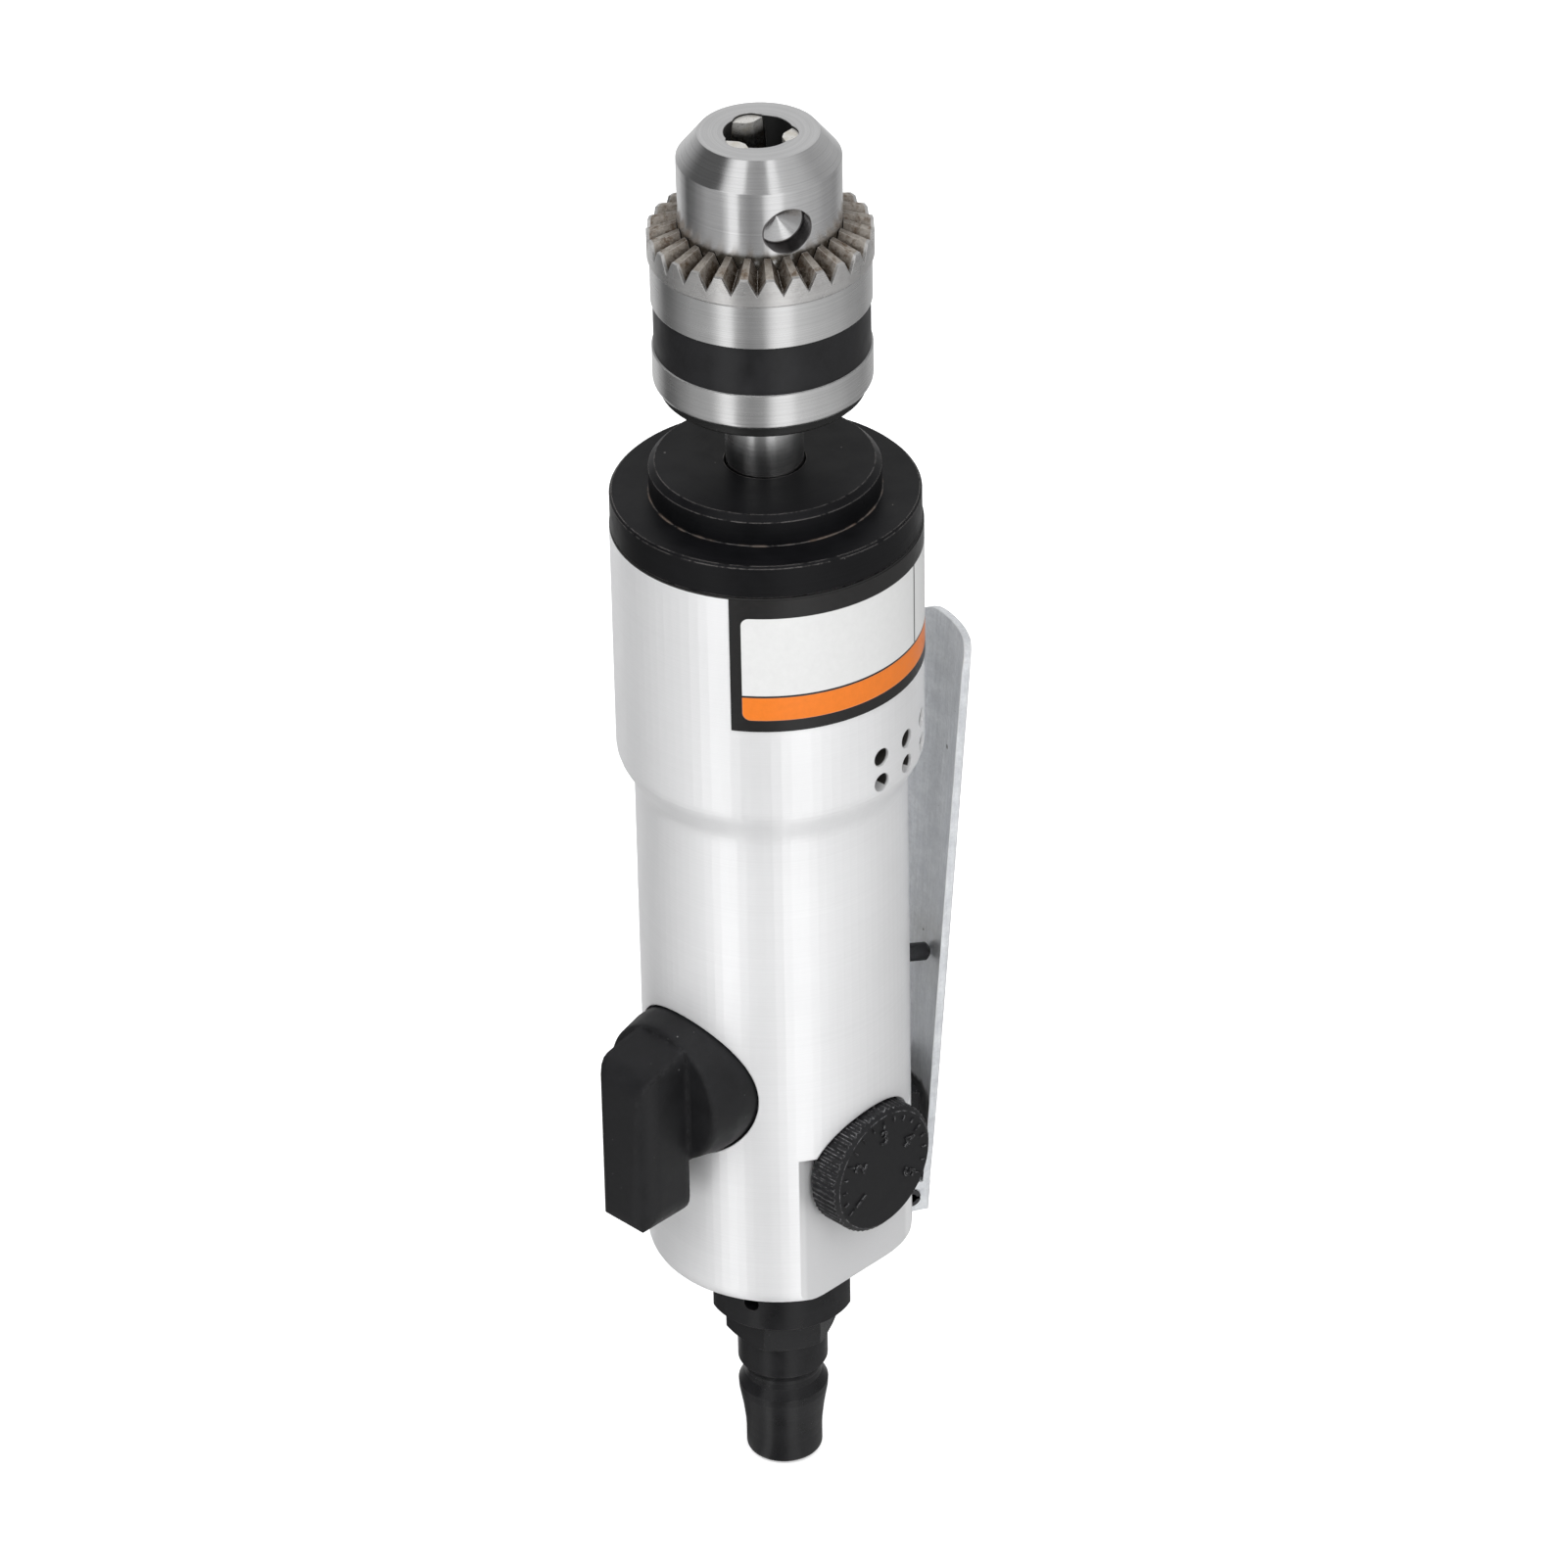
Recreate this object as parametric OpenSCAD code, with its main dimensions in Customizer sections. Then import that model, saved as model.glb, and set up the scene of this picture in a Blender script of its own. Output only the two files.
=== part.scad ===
// Straight air drill: keyed chuck, planetary gear, vane motor, lever throttle, reversing and speed knobs.
// The spindle axis is +Z and the origin is the mouth of the air plug. Azimuths turn from -Y towards +X.

/* [Housing] */
// Radius of the front part of the housing
head_r = 20.1; // [19.6:0.1:21]
// Radius of the grip
grip_r = 17.85; // [17.4:0.05:18.3]
// Length of the grip, up to the step
grip_len = 74.1; // [72.6:0.1:74.9]
// Length of the sloping step between the grip and the front part
step_len = 6; // [4:0.1:7]
// Length of the front part
head_len = 32.4; // [31.5:0.1:35]
// Rounding of the bottom edge of the housing
base_round = 2.5; // [1:0.1:3]
// Height of the motor floor above the bottom of the housing
floor_h = 49.4; // [49:0.1:49.9]
// Bore of the front part, which takes the gear and the front cap
head_bore_r = 16.5; // [16.3:0.05:16.8]
// Height of the foot of that bore above the motor floor
head_bore_h = 23; // [22:0.1:24]
// Radius of one exhaust hole
exhaust_r = 1.3; // [0.8:0.1:1.5]
// Azimuth of the middle of the two rows of exhaust holes
exhaust_azimuth = 108; // [104:0.5:112]
// Number of exhaust holes in a row
exhaust_count = 9; // [3:2:9]
// Angle between neighbouring exhaust holes
exhaust_pitch = 15.75; // [14:0.25:16]
// Height of the lower row of exhaust holes above the motor floor
exhaust_h = 31.7; // [31:0.1:32.4]
// Distance between the two rows of exhaust holes
exhaust_row_gap = 3.8; // [3.4:0.1:4.2]

/* [Front cap] */
// Radius of the flange of the front cap
flange_r = 20; // [19.6:0.1:20.2]
// Thickness of the flange of the front cap
flange_t = 4.7; // [4:0.1:6]
// Radius of the boss on the front cap
boss_r = 14.9; // [14:0.1:15.5]
// Height of the boss on the front cap
boss_h = 4.2; // [3.5:0.1:5]
// Thickness of the top wall of the front cap
cap_wall = 2.4; // [2:0.1:3]
// Depth of the threaded skirt inside the housing
skirt_len = 6.2; // [5.8:0.1:6.5]
// Radial gap between the spindle and the front cap
cap_gap = 0.25; // [0.15:0.05:0.6]

/* [Label] */
// Height of the blank label
label_h = 19.5; // [15:0.1:22]
// Distance from the top of the housing to the label
label_drop = 0.1; // [0.1:0.1:2]
// Thickness of the label
label_t = 0.12; // [0.08:0.01:0.3]
// Azimuth of the first edge of the label
label_start = -14.2; // [-30:0.1:0]
// Angle that the label covers
label_sweep = 115; // [90:1:170]

/* [Chuck] */
// Length of bare spindle between the front cap and the chuck
spindle_gap = 10.5; // [8:0.1:14]
// Radius of the bare spindle
spindle_r = 5; // [4.7:0.05:5.3]
// Length of the spindle taper inside the chuck
taper_len = 14.5; // [12:0.1:15]
// Radius that the taper loses over its length
taper_drop = 0.36; // [0.3:0.01:0.5]
// Height of the whole chuck
chuck_h = 36.4; // [36:0.1:38]
// Thickness of the black rear ring of the chuck body
rear_ring_t = 1.35; // [1:0.05:1.6]
// Radius of the black rear ring
rear_ring_r = 13.1; // [12.9:0.05:13.3]
// Radius of the chuck nose
nose_r = 10.4; // [10.2:0.02:10.5]
// Radius of the flat face at the tip of the nose
nose_face_r = 7.7; // [7:0.1:8.5]
// Height of the bevel on the nose
nose_bevel_h = 3.35; // [2.5:0.05:4]
// Radius of the tool hole in the nose
tool_hole_r = 4.4; // [4:0.05:4.5]
// Height of the solid web between the taper socket and the tool hole
web_t = 2.5; // [2:0.1:4]
// Radius of the three pilot holes for the chuck key
pilot_r = 3.1; // [2.6:0.05:3.2]
// Depth of the straight part of a pilot hole
pilot_depth = 3.2; // [2:0.1:3.4]
// Azimuth of the first pilot hole
pilot_azimuth = 19.6; // [10:0.1:30]
// Distance from the tip of the nose down to the pilot holes
pilot_drop = 8.9; // [8.5:0.05:9.2]

/* [Chuck sleeve] */
// Radius of the sleeve
sleeve_r = 14; // [13.8:0.02:14.2]
// Bore of the sleeve, which holds the nut
sleeve_bore_r = 12.9; // [12.7:0.02:13.1]
// Height of the plain sleeve below the gear teeth
sleeve_h = 17.65; // [17:0.05:18.5]
// Radius over the tips of the gear teeth
gear_tip_r = 14.3; // [14.2:0.02:14.6]
// Height of the outer end of the teeth
tooth_h = 3.8; // [3.2:0.05:4.2]
// Depth of the outer end of the gaps between teeth
tooth_gap_h = 2.3; // [1.8:0.05:2.5]
// Half of the angle of the gap between two teeth
tooth_flank = 29; // [24:1:32]
// Number of teeth for the chuck key
key_teeth = 27; // [24:1:30]
// Azimuth of the first gap between teeth
tooth_azimuth = -2.2; // [-6:0.1:6]
// Rounding of the bottom edge of the sleeve
sleeve_round = 0.8; // [0.3:0.1:1.1]
// Height of the foot of the black band above the bottom of the sleeve
band_foot = 5; // [3:0.1:6]
// Height of the black band
band_h = 6.8; // [5:0.1:7.5]
// Depth of the black band
band_depth = 0.25; // [0.1:0.05:0.5]
// Running gap between the sleeve and the chuck body
sleeve_gap = 0.08; // [0.05:0.01:0.1]
// Height of the foot of the nut above the bottom of the sleeve
nut_foot = 13.8; // [13.4:0.05:14]
// Height of the nut
nut_h = 4.6; // [4:0.1:4.8]

/* [Jaws] */
// Radius of a jaw
jaw_r = 2.3; // [2.1:0.02:2.4]
// Slope of a jaw to the spindle axis
jaw_slope = 15; // [14:0.25:16]
// Length of a jaw
jaw_len = 27.5; // [26:0.5:28]
// Distance from the axis to the outer side of the jaw holes at the tip of the nose
jaw_reach = 5; // [4.8:0.05:5.2]
// Depth of the jaw tips below the tip of the nose
jaw_sunk = 0.3; // [0.2:0.1:2]
// Distance of the gripping edges from the axis
jaw_open = 2.8; // [2.4:0.05:3]
// Sliding gap round a jaw
jaw_gap = 0.06; // [0.04:0.01:0.1]

/* [Spindle and gear] */
// Radius of the spindle in its bearings
journal_r = 6; // [5.8:0.05:6.2]
// Outer radius of the spindle bearings
spindle_bearing_r = 10.5; // [10.2:0.05:10.7]
// Height of one spindle bearing
spindle_bearing_h = 5; // [4.8:0.1:5.2]
// Thickness of the planet carrier disc
carrier_t = 4; // [3.5:0.1:4.4]
// Radius of the planet carrier disc
carrier_r = 12.9; // [11.5:0.1:13]
// Tooth size of the gears, as pitch diameter over tooth count
gear_module = 0.6; // [0.56:0.01:0.61]
// Tooth count of the motor pinion
sun_teeth = 12; // [12:3:15]
// Tooth count of a planet gear
planet_teeth = 15; // [12:3:15]
// Pressure angle of the gears
pressure_angle = 25; // [24:0.5:26]
// Play taken off each side of a gear tooth
gear_play = 0.03; // [0.02:0.01:0.05]
// Radius of a planet pin
planet_pin_r = 1.5; // [1.2:0.05:1.8]
// Running gap of a planet gear on its pin
planet_gap = 0.05; // [0.02:0.01:0.08]

/* [Motor] */
// Outer radius of the motor cylinder
cylinder_r = 15; // [14.8:0.05:15.2]
// Length of the motor cylinder
cylinder_len = 27; // [26:0.1:28]
// Bore radius of the motor cylinder
chamber_r = 11.5; // [11.3:0.05:11.6]
// Sideways shift of the bore of the motor cylinder
chamber_shift = 1.7; // [1.5:0.05:1.75]
// Radius of the rotor
rotor_r = 9.5; // [9.3:0.05:9.55]
// Thickness of a rotor blade
blade_t = 1.5; // [1.2:0.05:1.8]
// Depth of a blade slot
blade_depth = 4.6; // [4:0.1:4.8]
// Number of rotor blades
blade_count = 5; // [4:1:6]
// Thickness of the rear end plate
rear_plate_t = 7; // [6.5:0.1:7.5]
// Thickness of the front end plate, up to its flange face
front_plate_t = 7; // [6.5:0.1:7.5]
// Thickness of the flange of the front end plate
plate_flange_t = 3; // [2.5:0.1:3.5]
// Height of the middle of the front end plate above its flange face
plate_boss_h = 1.2; // [1:0.1:1.5]
// Radius of the rotor journal in the front bearing
front_journal_r = 4.5; // [4.4:0.02:4.6]
// Outer radius of the front rotor bearing
front_bearing_r = 8.5; // [8.3:0.05:8.7]
// Radius of the rotor journal in the rear bearing
rear_journal_r = 4; // [3.8:0.05:4.2]
// Outer radius of the rear rotor bearing
rear_bearing_r = 8; // [7.8:0.05:8.2]
// Height of a rotor bearing
rotor_bearing_h = 5; // [4.6:0.1:5.2]

/* [Lever] */
// Azimuth of the lever and the throttle
lever_azimuth = 112; // [110:0.5:114]
// Height of the lever pivot above the bottom of the housing
pivot_h = 4; // [3.8:0.1:4.3]
// Distance of the lever pivot from the axis
pivot_reach = 17.1; // [17:0.05:17.3]
// Radius of the lever pin
lever_pin_r = 1.25; // [1.1:0.05:1.4]
// Height of the top of the lever above the bottom of the housing
lever_top_h = 90.2; // [87:0.1:93]
// Distance of the inner face of the lever from the axis, at the pivot
lever_reach = 19.55; // [19.4:0.05:19.8]
// Outward lean of the lever
lever_lean = 4.39; // [4:0.05:4.8]
// Radius of the hollow inner face of the lever
lever_hollow_r = 15; // [14.5:0.1:16]
// Thickness of the lever
lever_t = 1; // [0.9:0.05:1.3]
// Half of the width of the lever
lever_half = 8; // [7.5:0.1:8.2]
// Half of the width over the ears of the lever
ear_half = 5.2; // [5.1:0.05:5.3]
// Thickness of an ear of the lever
ear_t = 1.2; // [1:0.05:1.3]
// Radius of the round end of an ear
ear_r = 2.3; // [2.1:0.05:2.4]
// Height above the pivot at which the lever reaches its full width
lever_waist_h = 24; // [21:0.5:27]

/* [Lever bracket] */
// Half of the width of the slot that holds the lever bracket
slot_half = 5.6; // [5.5:0.05:5.8]
// Distance of the slot floor from the axis
slot_reach = 14.6; // [14.4:0.05:14.8]
// Height of the slot above the pivot
slot_h = 17.5; // [15.5:0.5:18.5]
// Distance of the outer face of the lever bracket from the axis
bracket_reach = 18.75; // [18.6:0.05:18.8]
// Depth by which the head of the lever bracket stands back from its outer face
bracket_step = 0.45; // [0.4:0.05:0.6]
// Gap beside the lever bracket
bracket_gap = 0.2; // [0.1:0.05:0.3]
// Radius of the head of the bracket screw
screw_head_r = 3; // [2.6:0.1:3.4]
// Radius of the shank of the bracket screw
screw_r = 1.5; // [1.2:0.05:1.8]

/* [Throttle] */
// Distance of the throttle bore below the motor floor, where it leaves the grip
throttle_drop = 8.9; // [8.8:0.1:9.3]
// Downward tilt of the throttle pin
throttle_tilt = 10; // [8:0.5:11]
// Radius of the throttle pin
stem_r = 1.25; // [1.1:0.05:1.4]
// Radius of the throttle bore
throttle_bore_r = 4.3; // [4.1:0.05:4.4]
// Length of the throttle bushing
throttle_bush_len = 8; // [7:0.1:9]
// Radius of the throttle ball
ball_r = 3.2; // [3:0.05:3.4]
// Radius of the seat under the ball
seat_r = 2.2; // [1.9:0.05:2.4]
// Gap between the throttle pin and the lever
stem_gap = 0.3; // [0.2:0.05:0.4]
// Radius of the wire of the throttle spring
spring_wire_r = 0.2; // [0.15:0.01:0.25]

/* [Reversing knob] */
// Azimuth of the reversing knob
reverse_azimuth = -45; // [-47:0.5:-43]
// Distance of the reversing knob below the throttle bore
reverse_drop = 6.6; // [6.4:0.1:6.9]
// Radius of the skirt of the reversing knob
reverse_skirt_r = 10.4; // [10.2:0.05:10.6]
// Radius of the face of the reversing knob
reverse_face_r = 9.75; // [9.4:0.05:10]
// Distance of the floor of the knob pocket from the axis
reverse_floor = 13.1; // [13:0.05:13.4]
// Distance of the face of the reversing knob from the axis
reverse_face = 21.4; // [20.6:0.1:22]
// Distance of the outer end of the grip bar from the axis
bar_reach = 30; // [29:0.1:31]
// Width of the grip bar
bar_w = 9.2; // [8.6:0.1:9.8]
// Length of the grip bar below the knob axis
bar_drop = 18; // [16:0.1:19]
// Radius of the reversing valve
reverse_valve_r = 4.5; // [4.3:0.05:4.6]
// Depth of the reversing valve past the axis
reverse_valve_depth = 3; // [2:0.1:4]

/* [Speed knob] */
// Azimuth of the speed knob
speed_azimuth = 45; // [43:0.5:47]
// Distance of the speed knob below the reversing knob
speed_drop = 14.1; // [13.8:0.1:14.4]
// Radius of the speed knob
speed_r = 9.2; // [9:0.05:9.4]
// Distance of the milled flat from the axis
flat_reach = 14.3; // [14.2:0.05:14.4]
// Height of the top of the milled flat above the bottom of the housing
flat_h = 24; // [23.4:0.1:24.6]
// Distance of the face of the speed knob from the axis
speed_face = 19.7; // [19.2:0.1:20.2]
// Number of grooves round the speed knob
knurl_count = 60; // [40:1:72]
// Depth of a groove round the speed knob
knurl_depth = 0.25; // [0.15:0.05:0.4]
// Radius of the speed valve
speed_valve_r = 3.5; // [3.2:0.05:3.8]
// Gap between a knob and what it turns on
knob_gap = 0.3; // [0.2:0.05:0.4]
// Running gap of a valve in its bore
valve_gap = 0.03; // [0.02:0.01:0.05]
// Radius of the cord of the seal rings
seal_r = 0.6; // [0.5:0.05:0.7]

/* [Air inlet] */
// Length of the inlet bushing below the housing
bushing_len = 9.6; // [9:0.1:11]
// Radius of the inlet bushing
bushing_r = 10; // [9.8:0.05:10.2]
// Distance between the two flats of the inlet bushing
bushing_flats = 18.6; // [18:0.1:19.4]
// Radius of the thread of the inlet bushing
bushing_thread_r = 8; // [7.8:0.05:8.1]
// Length of the thread of the inlet bushing
bushing_thread_len = 10; // [9:0.1:10.5]
// Radius of the thread of the air plug
plug_thread_r = 6.5; // [6.3:0.05:6.7]
// Length of the thread of the air plug
plug_thread_len = 9; // [8:0.1:10]
// Width across the flats of the hexagon of the air plug
plug_hex = 13.5; // [13.2:0.1:14]
// Height of the hexagon of the air plug
plug_hex_h = 5.5; // [4.5:0.1:6.5]
// Length of the collar of the air plug
plug_collar_h = 5.1; // [4.5:0.1:6]
// Length of the waist and tip of the air plug
plug_tip_len = 15.4; // [14.9:0.1:16.4]
// Radius of the collar of the air plug
plug_r = 6.15; // [6:0.05:6.3]
// Radius of the waist of the air plug
plug_waist_r = 5.3; // [5.1:0.05:5.5]
// Radius of the tip of the air plug
plug_tip_r = 5.2; // [5:0.05:5.4]
// Radius of the air passage in the air plug
plug_bore_r = 3.6; // [3.2:0.05:3.8]

/* [Hidden] */
$fn = 96;
fit = 0.02;
axial_gap = 0.3;
flank_steps = 3;
circlip_t = 0.8;
bearing_ledge_r = 8.8;
washer_t = 0.9;
spring_turns = 4;
bushing_hole_r = 1.1;
bushing_hole_azimuth = -24.7;
bushing_hole_drop = 5.4;
air_r = 2;
port_r = 1.4;
port_reach = 11.5;
port_angle = 20;
outlet_reach = 11.35;
stop_pin_r = 1;
stop_pin_half = 8;
stop_pin_reach = 6;
stop_pin_seat = 0.35;
seal_back = 2;
seal_front = 2.2;
cylinder_pin_r = 1;
cylinder_pin_inset = 2.2;
cylinder_pin_depth = 3;
groove_drop = 2.2;
hex_turn = -49;
rim = 0.1;

// Heights of the housing and of what stands on it
z_bushing = plug_tip_len + plug_collar_h + plug_hex_h;
z_body = z_bushing + bushing_len;
z_floor = z_body + floor_h;
z_step = z_body + grip_len;
z_head = z_step + step_len;
z_flange = z_head + head_len;
z_boss = z_flange + flange_t;
z_cap = z_boss + boss_h;
z_chuck = z_cap + spindle_gap;
z_nose = z_chuck + chuck_h;

// Heights of the motor, from the floor up
z_cylinder = z_floor + rear_plate_t;
z_front_plate = z_cylinder + cylinder_len;
z_ring = z_front_plate + front_plate_t;
z_plate_boss = z_ring + plate_boss_h;
z_washer = z_plate_boss + washer_t;
z_head_bore = z_floor + head_bore_h;

// Heights of the spindle, from the front cap down
z_ceiling = z_cap - cap_wall;
z_clip = z_ceiling - axial_gap - circlip_t;
z_bearing_mid = z_clip - spindle_bearing_h;
z_bearing_low = z_bearing_mid - spindle_bearing_h;
z_bearing_clip = z_bearing_low - circlip_t - fit;
z_skirt = z_flange - skirt_len;
z_carrier = z_skirt - axial_gap;
z_carrier_low = z_carrier - carrier_t;
z_planet = z_washer + axial_gap;
z_planet_top = z_carrier_low - axial_gap;

// Heights of the chuck
z_rear_ring = z_chuck + rear_ring_t;
z_sleeve = z_rear_ring + 0.15;
z_teeth = z_sleeve + sleeve_h;
z_tooth_tip = z_teeth + tooth_h;
z_pilot = z_nose - pilot_drop;
z_nut = z_sleeve + nut_foot;
z_seat = z_nut - 0.15;
z_web = z_chuck + taper_len + web_t;
jaw_tip_z = z_nose - jaw_sunk;
jaw_azimuth = pilot_azimuth + 60;
jaw_mid_r = jaw_reach - jaw_r / cos(jaw_slope);
thread_pitch = 1.5875;

// Gears
ring_teeth = sun_teeth + 2 * planet_teeth;
planet_reach = gear_module * (sun_teeth + planet_teeth) / 2;
ring_turn = (planet_teeth - 1) / 2 * 360 / ring_teeth;

// Lever and throttle
z_pivot = z_body + pivot_h;
z_lever_top = z_body + lever_top_h;
screw_seat = bracket_reach - bracket_step - slot_reach;
z_throttle = z_floor - throttle_drop;
bush_out = 0.6;
seat_drop = sqrt(ball_r * ball_r - seat_r * seat_r);
bush_in = bush_out + throttle_bush_len;
ball_in = bush_in + seat_drop + fit;
throttle_depth = 18.9;
stem_out = (lever_inner(z_throttle - 0.75) - grip_r) / cos(throttle_tilt) - stem_gap;

// Knobs
z_reverse = z_throttle - reverse_drop;
z_speed = z_reverse - speed_drop;
reverse_back = reverse_floor + knob_gap;
speed_back = flat_reach + knob_gap;

// Distance of the inner face of the lever from the axis at a height
function lever_inner(z) = lever_reach + (z - z_pivot) * tan(lever_lean);
// Unit vector along a plane vector
function unit(v) = v / norm(v);
// Points of an arc
function arc(cx, cy, r, from, to, steps = 8) =
  [for (i = [0:steps]) let (a = from + (to - from) * i / steps) [cx + r * cos(a), cy + r * sin(a)]];
// Points of the rounded corner at b, between the edges to a and c
function corner(a, b, c, r, steps = 6) =
  let (
    u = unit(a - b),
    w = unit(c - b),
    half = acos(u * w) / 2,
    mid = b + unit(u + w) * r / sin(half),
    p = b + u * r / tan(half) - mid,
    q = b + w * r / tan(half) - mid,
    from = atan2(p[1], p[0]),
    turn = atan2(p[0] * q[1] - p[1] * q[0], p * q)
  )
  arc(mid[0], mid[1], r, from, from + turn, steps);
// Polygon whose corners [x, y, radius] are rounded where the radius isn't zero
function rounded(pts) =
  let (n = len(pts))
  [for (i = [0:n - 1])
    let (
      a = [pts[(i + n - 1) % n][0], pts[(i + n - 1) % n][1]],
      b = [pts[i][0], pts[i][1]],
      c = [pts[(i + 1) % n][0], pts[(i + 1) % n][1]]
    )
    each (pts[i][2] == 0 ? [b] : corner(a, b, c, pts[i][2]))];
// Angle swept by an involute from its base circle to radius r
function involute(base, r) = let (a = acos(min(1, base / r))) tan(a) * 180 / PI - a;
// Outline of a spur gear with a tooth on +X
function gear_points(teeth, tip, root, play) =
  let (
    pitch = gear_module * teeth / 2,
    base = pitch * cos(pressure_angle),
    start = max(base, root),
    half = 90 / teeth - play / pitch * 180 / PI + involute(base, pitch),
    radii = [for (i = [0:flank_steps]) start + (tip - start) * i / flank_steps],
    foot = half - involute(base, start)
  )
  [for (k = [0:teeth - 1])
    let (mid = k * 360 / teeth)
    each concat(
      root < start ? [root * [cos(mid - foot), sin(mid - foot)]] : [],
      [for (r = radii) let (a = mid - half + involute(base, r)) r * [cos(a), sin(a)]],
      [for (i = [flank_steps:-1:0])
        let (a = mid + half - involute(base, radii[i])) radii[i] * [cos(a), sin(a)]],
      root < start ? [root * [cos(mid + foot), sin(mid + foot)]] : []
    )];

// Puts children on a radial line: local Z points outwards, local Y points up
module radial(azimuth, z) {
  translate([0, 0, z]) rotate([0, 0, azimuth]) rotate([90, 0, 0]) children();
}

// Ring between two radii and two heights
module ring(outer, inner, low, high) {
  translate([0, 0, low]) difference() {
    cylinder(r = outer, h = high - low);
    translate([0, 0, -1]) cylinder(r = inner, h = high - low + 2);
  }
}

// Seal ring whose cord lies round a radius
module seal_ring(radius, cord) {
  rotate_extrude() translate([radius, 0]) circle(r = cord, $fn = 32);
}

// Ball circle of a bearing
function ball_circle(outer, inner) = (outer + inner) / 2;
function bearing_ball_r(outer, inner) = (outer - inner) * 0.27;

// Outer ring and balls of a bearing
module bearing_outer(outer, inner, low, high) {
  mid = ball_circle(outer, inner);
  ball = bearing_ball_r(outer, inner);
  land = ball * 0.45;
  difference() {
    ring(outer, mid + land, low, high);
    translate([0, 0, (low + high) / 2]) seal_ring(mid, ball + fit);
  }
  count = floor(180 / asin(ball * 1.12 / mid));
  for (i = [0:count - 1])
    rotate([0, 0, i * 360 / count]) translate([mid, 0, (low + high) / 2]) sphere(r = ball, $fn = 32);
}

// Inner ring of a bearing
module bearing_inner(outer, inner, low, high) {
  mid = ball_circle(outer, inner);
  ball = bearing_ball_r(outer, inner);
  land = ball * 0.45;
  difference() {
    ring(mid - land, inner, low, high);
    translate([0, 0, (low + high) / 2]) seal_ring(mid, ball + 0.05);
  }
}

// Outer surface of the housing as a turned profile
module housing_blank() {
  steps = 8;
  rotate_extrude() polygon(concat(
    [[0, z_body]],
    arc(grip_r - base_round, z_body + base_round, base_round, -90, 0),
    [for (i = [0:steps])
      [grip_r + (head_r - grip_r) * (1 - cos(180 * i / steps)) / 2, z_step + step_len * i / steps]],
    [[head_r, z_flange - rim], [head_r - rim, z_flange], [0, z_flange]]
  ));
}

module housing() {
  bushing_top = z_body + bushing_thread_len;
  color("silver") difference() {
    housing_blank();
    // Motor bore and gear bore
    translate([0, 0, z_floor]) cylinder(r = cylinder_r + fit, h = z_flange);
    // Relief under the inner ring of the rear rotor bearing
    translate([0, 0, z_floor - axial_gap])
      cylinder(r = ball_circle(rear_bearing_r, rear_journal_r) + 0.2, h = 1);
    translate([0, 0, z_head_bore]) cylinder(r = head_bore_r, h = z_flange);
    // Thread for the inlet bushing and the chamber above it
    translate([0, 0, z_body - 1]) cylinder(r = bushing_thread_r, h = bushing_thread_len + 1 + fit);
    translate([0, 0, bushing_top - 1]) cylinder(r = bushing_thread_r - 1.5, h = 4);
    // Exhaust holes, in two rows
    for (row = [0, 1])
      for (i = [0:exhaust_count - 1])
        radial(exhaust_azimuth + (i - (exhaust_count - 1) / 2) * exhaust_pitch,
               z_floor + exhaust_h + row * exhaust_row_gap)
          translate([0, 0, head_bore_r - 2]) cylinder(r = exhaust_r, h = head_r, $fn = 32);
    // Milled flat under the speed knob and the round relief above it
    radial(speed_azimuth, z_body)
      translate([-head_r, -1, flat_reach]) cube([2 * head_r, flat_h + 1, head_r]);
    radial(speed_azimuth, z_speed) translate([0, 0, flat_reach])
      cylinder(r = speed_r + knob_gap, h = head_r);
    radial(speed_azimuth, z_speed) {
      translate([0, 0, -speed_valve_r]) cylinder(r = speed_valve_r + valve_gap, h = head_r);
      translate([0, 0, -10]) cylinder(r = air_r, h = 12, $fn = 32);
    }
    // Pocket and bore of the reversing valve
    radial(reverse_azimuth, z_reverse) {
      translate([0, 0, reverse_floor]) cylinder(r = reverse_skirt_r + knob_gap, h = head_r);
      translate([0, 0, -reverse_valve_depth - axial_gap])
        cylinder(r = reverse_valve_r + valve_gap, h = head_r);
    }
    // Holes for the pins that keep the two valves in
    stop_pin_space(reverse_azimuth, z_reverse, reverse_valve_r, 0);
    stop_pin_space(speed_azimuth, z_speed, speed_valve_r, 0);
    // Bore of the throttle
    throttle_place() {
      translate([0, 0, -throttle_depth]) cylinder(r = throttle_bore_r, h = head_r + 10);
    }
    // Slot for the lever bracket and the thread of its screw
    radial(lever_azimuth, z_pivot)
      translate([-slot_half, -pivot_h - 1, slot_reach]) cube([2 * slot_half, pivot_h + 1 + slot_h, head_r]);
    screw_place() translate([0, 0, -5]) cylinder(r = screw_r, h = 8, $fn = 48);
    // Air passages: feed gallery to the ball, outlet to the reversing valve, two ways to the motor
    radial(speed_azimuth + 180, z_throttle) cylinder(r = air_r, h = 11, $fn = 32);
    rotate([0, 0, speed_azimuth + 180]) translate([0, -9, z_speed])
      cylinder(r = air_r, h = z_throttle - z_speed, $fn = 32);
    translate([0, 0, bushing_top]) cylinder(r = air_r + 1, h = z_speed - bushing_top, $fn = 48);
    radial(lever_azimuth, z_reverse) cylinder(r = air_r, h = outlet_reach, $fn = 32);
    radial(lever_azimuth, z_reverse) translate([0, 0, outlet_reach]) rotate([-90, 0, 0])
      cylinder(r = port_r, h = z_throttle - z_reverse, $fn = 32);
    motor_ports(z_reverse, z_floor + 1);
  }
}

module label() {
  low = z_flange - label_drop - label_h;
  color("white") intersection() {
    ring(head_r + label_t, head_r, low, low + label_h);
    rotate([0, 0, label_start - 90]) linear_extrude(z_nose)
      polygon(concat([[0, 0]], arc(0, 0, 2 * head_r, 0, label_sweep, 12)));
  }
}

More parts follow.
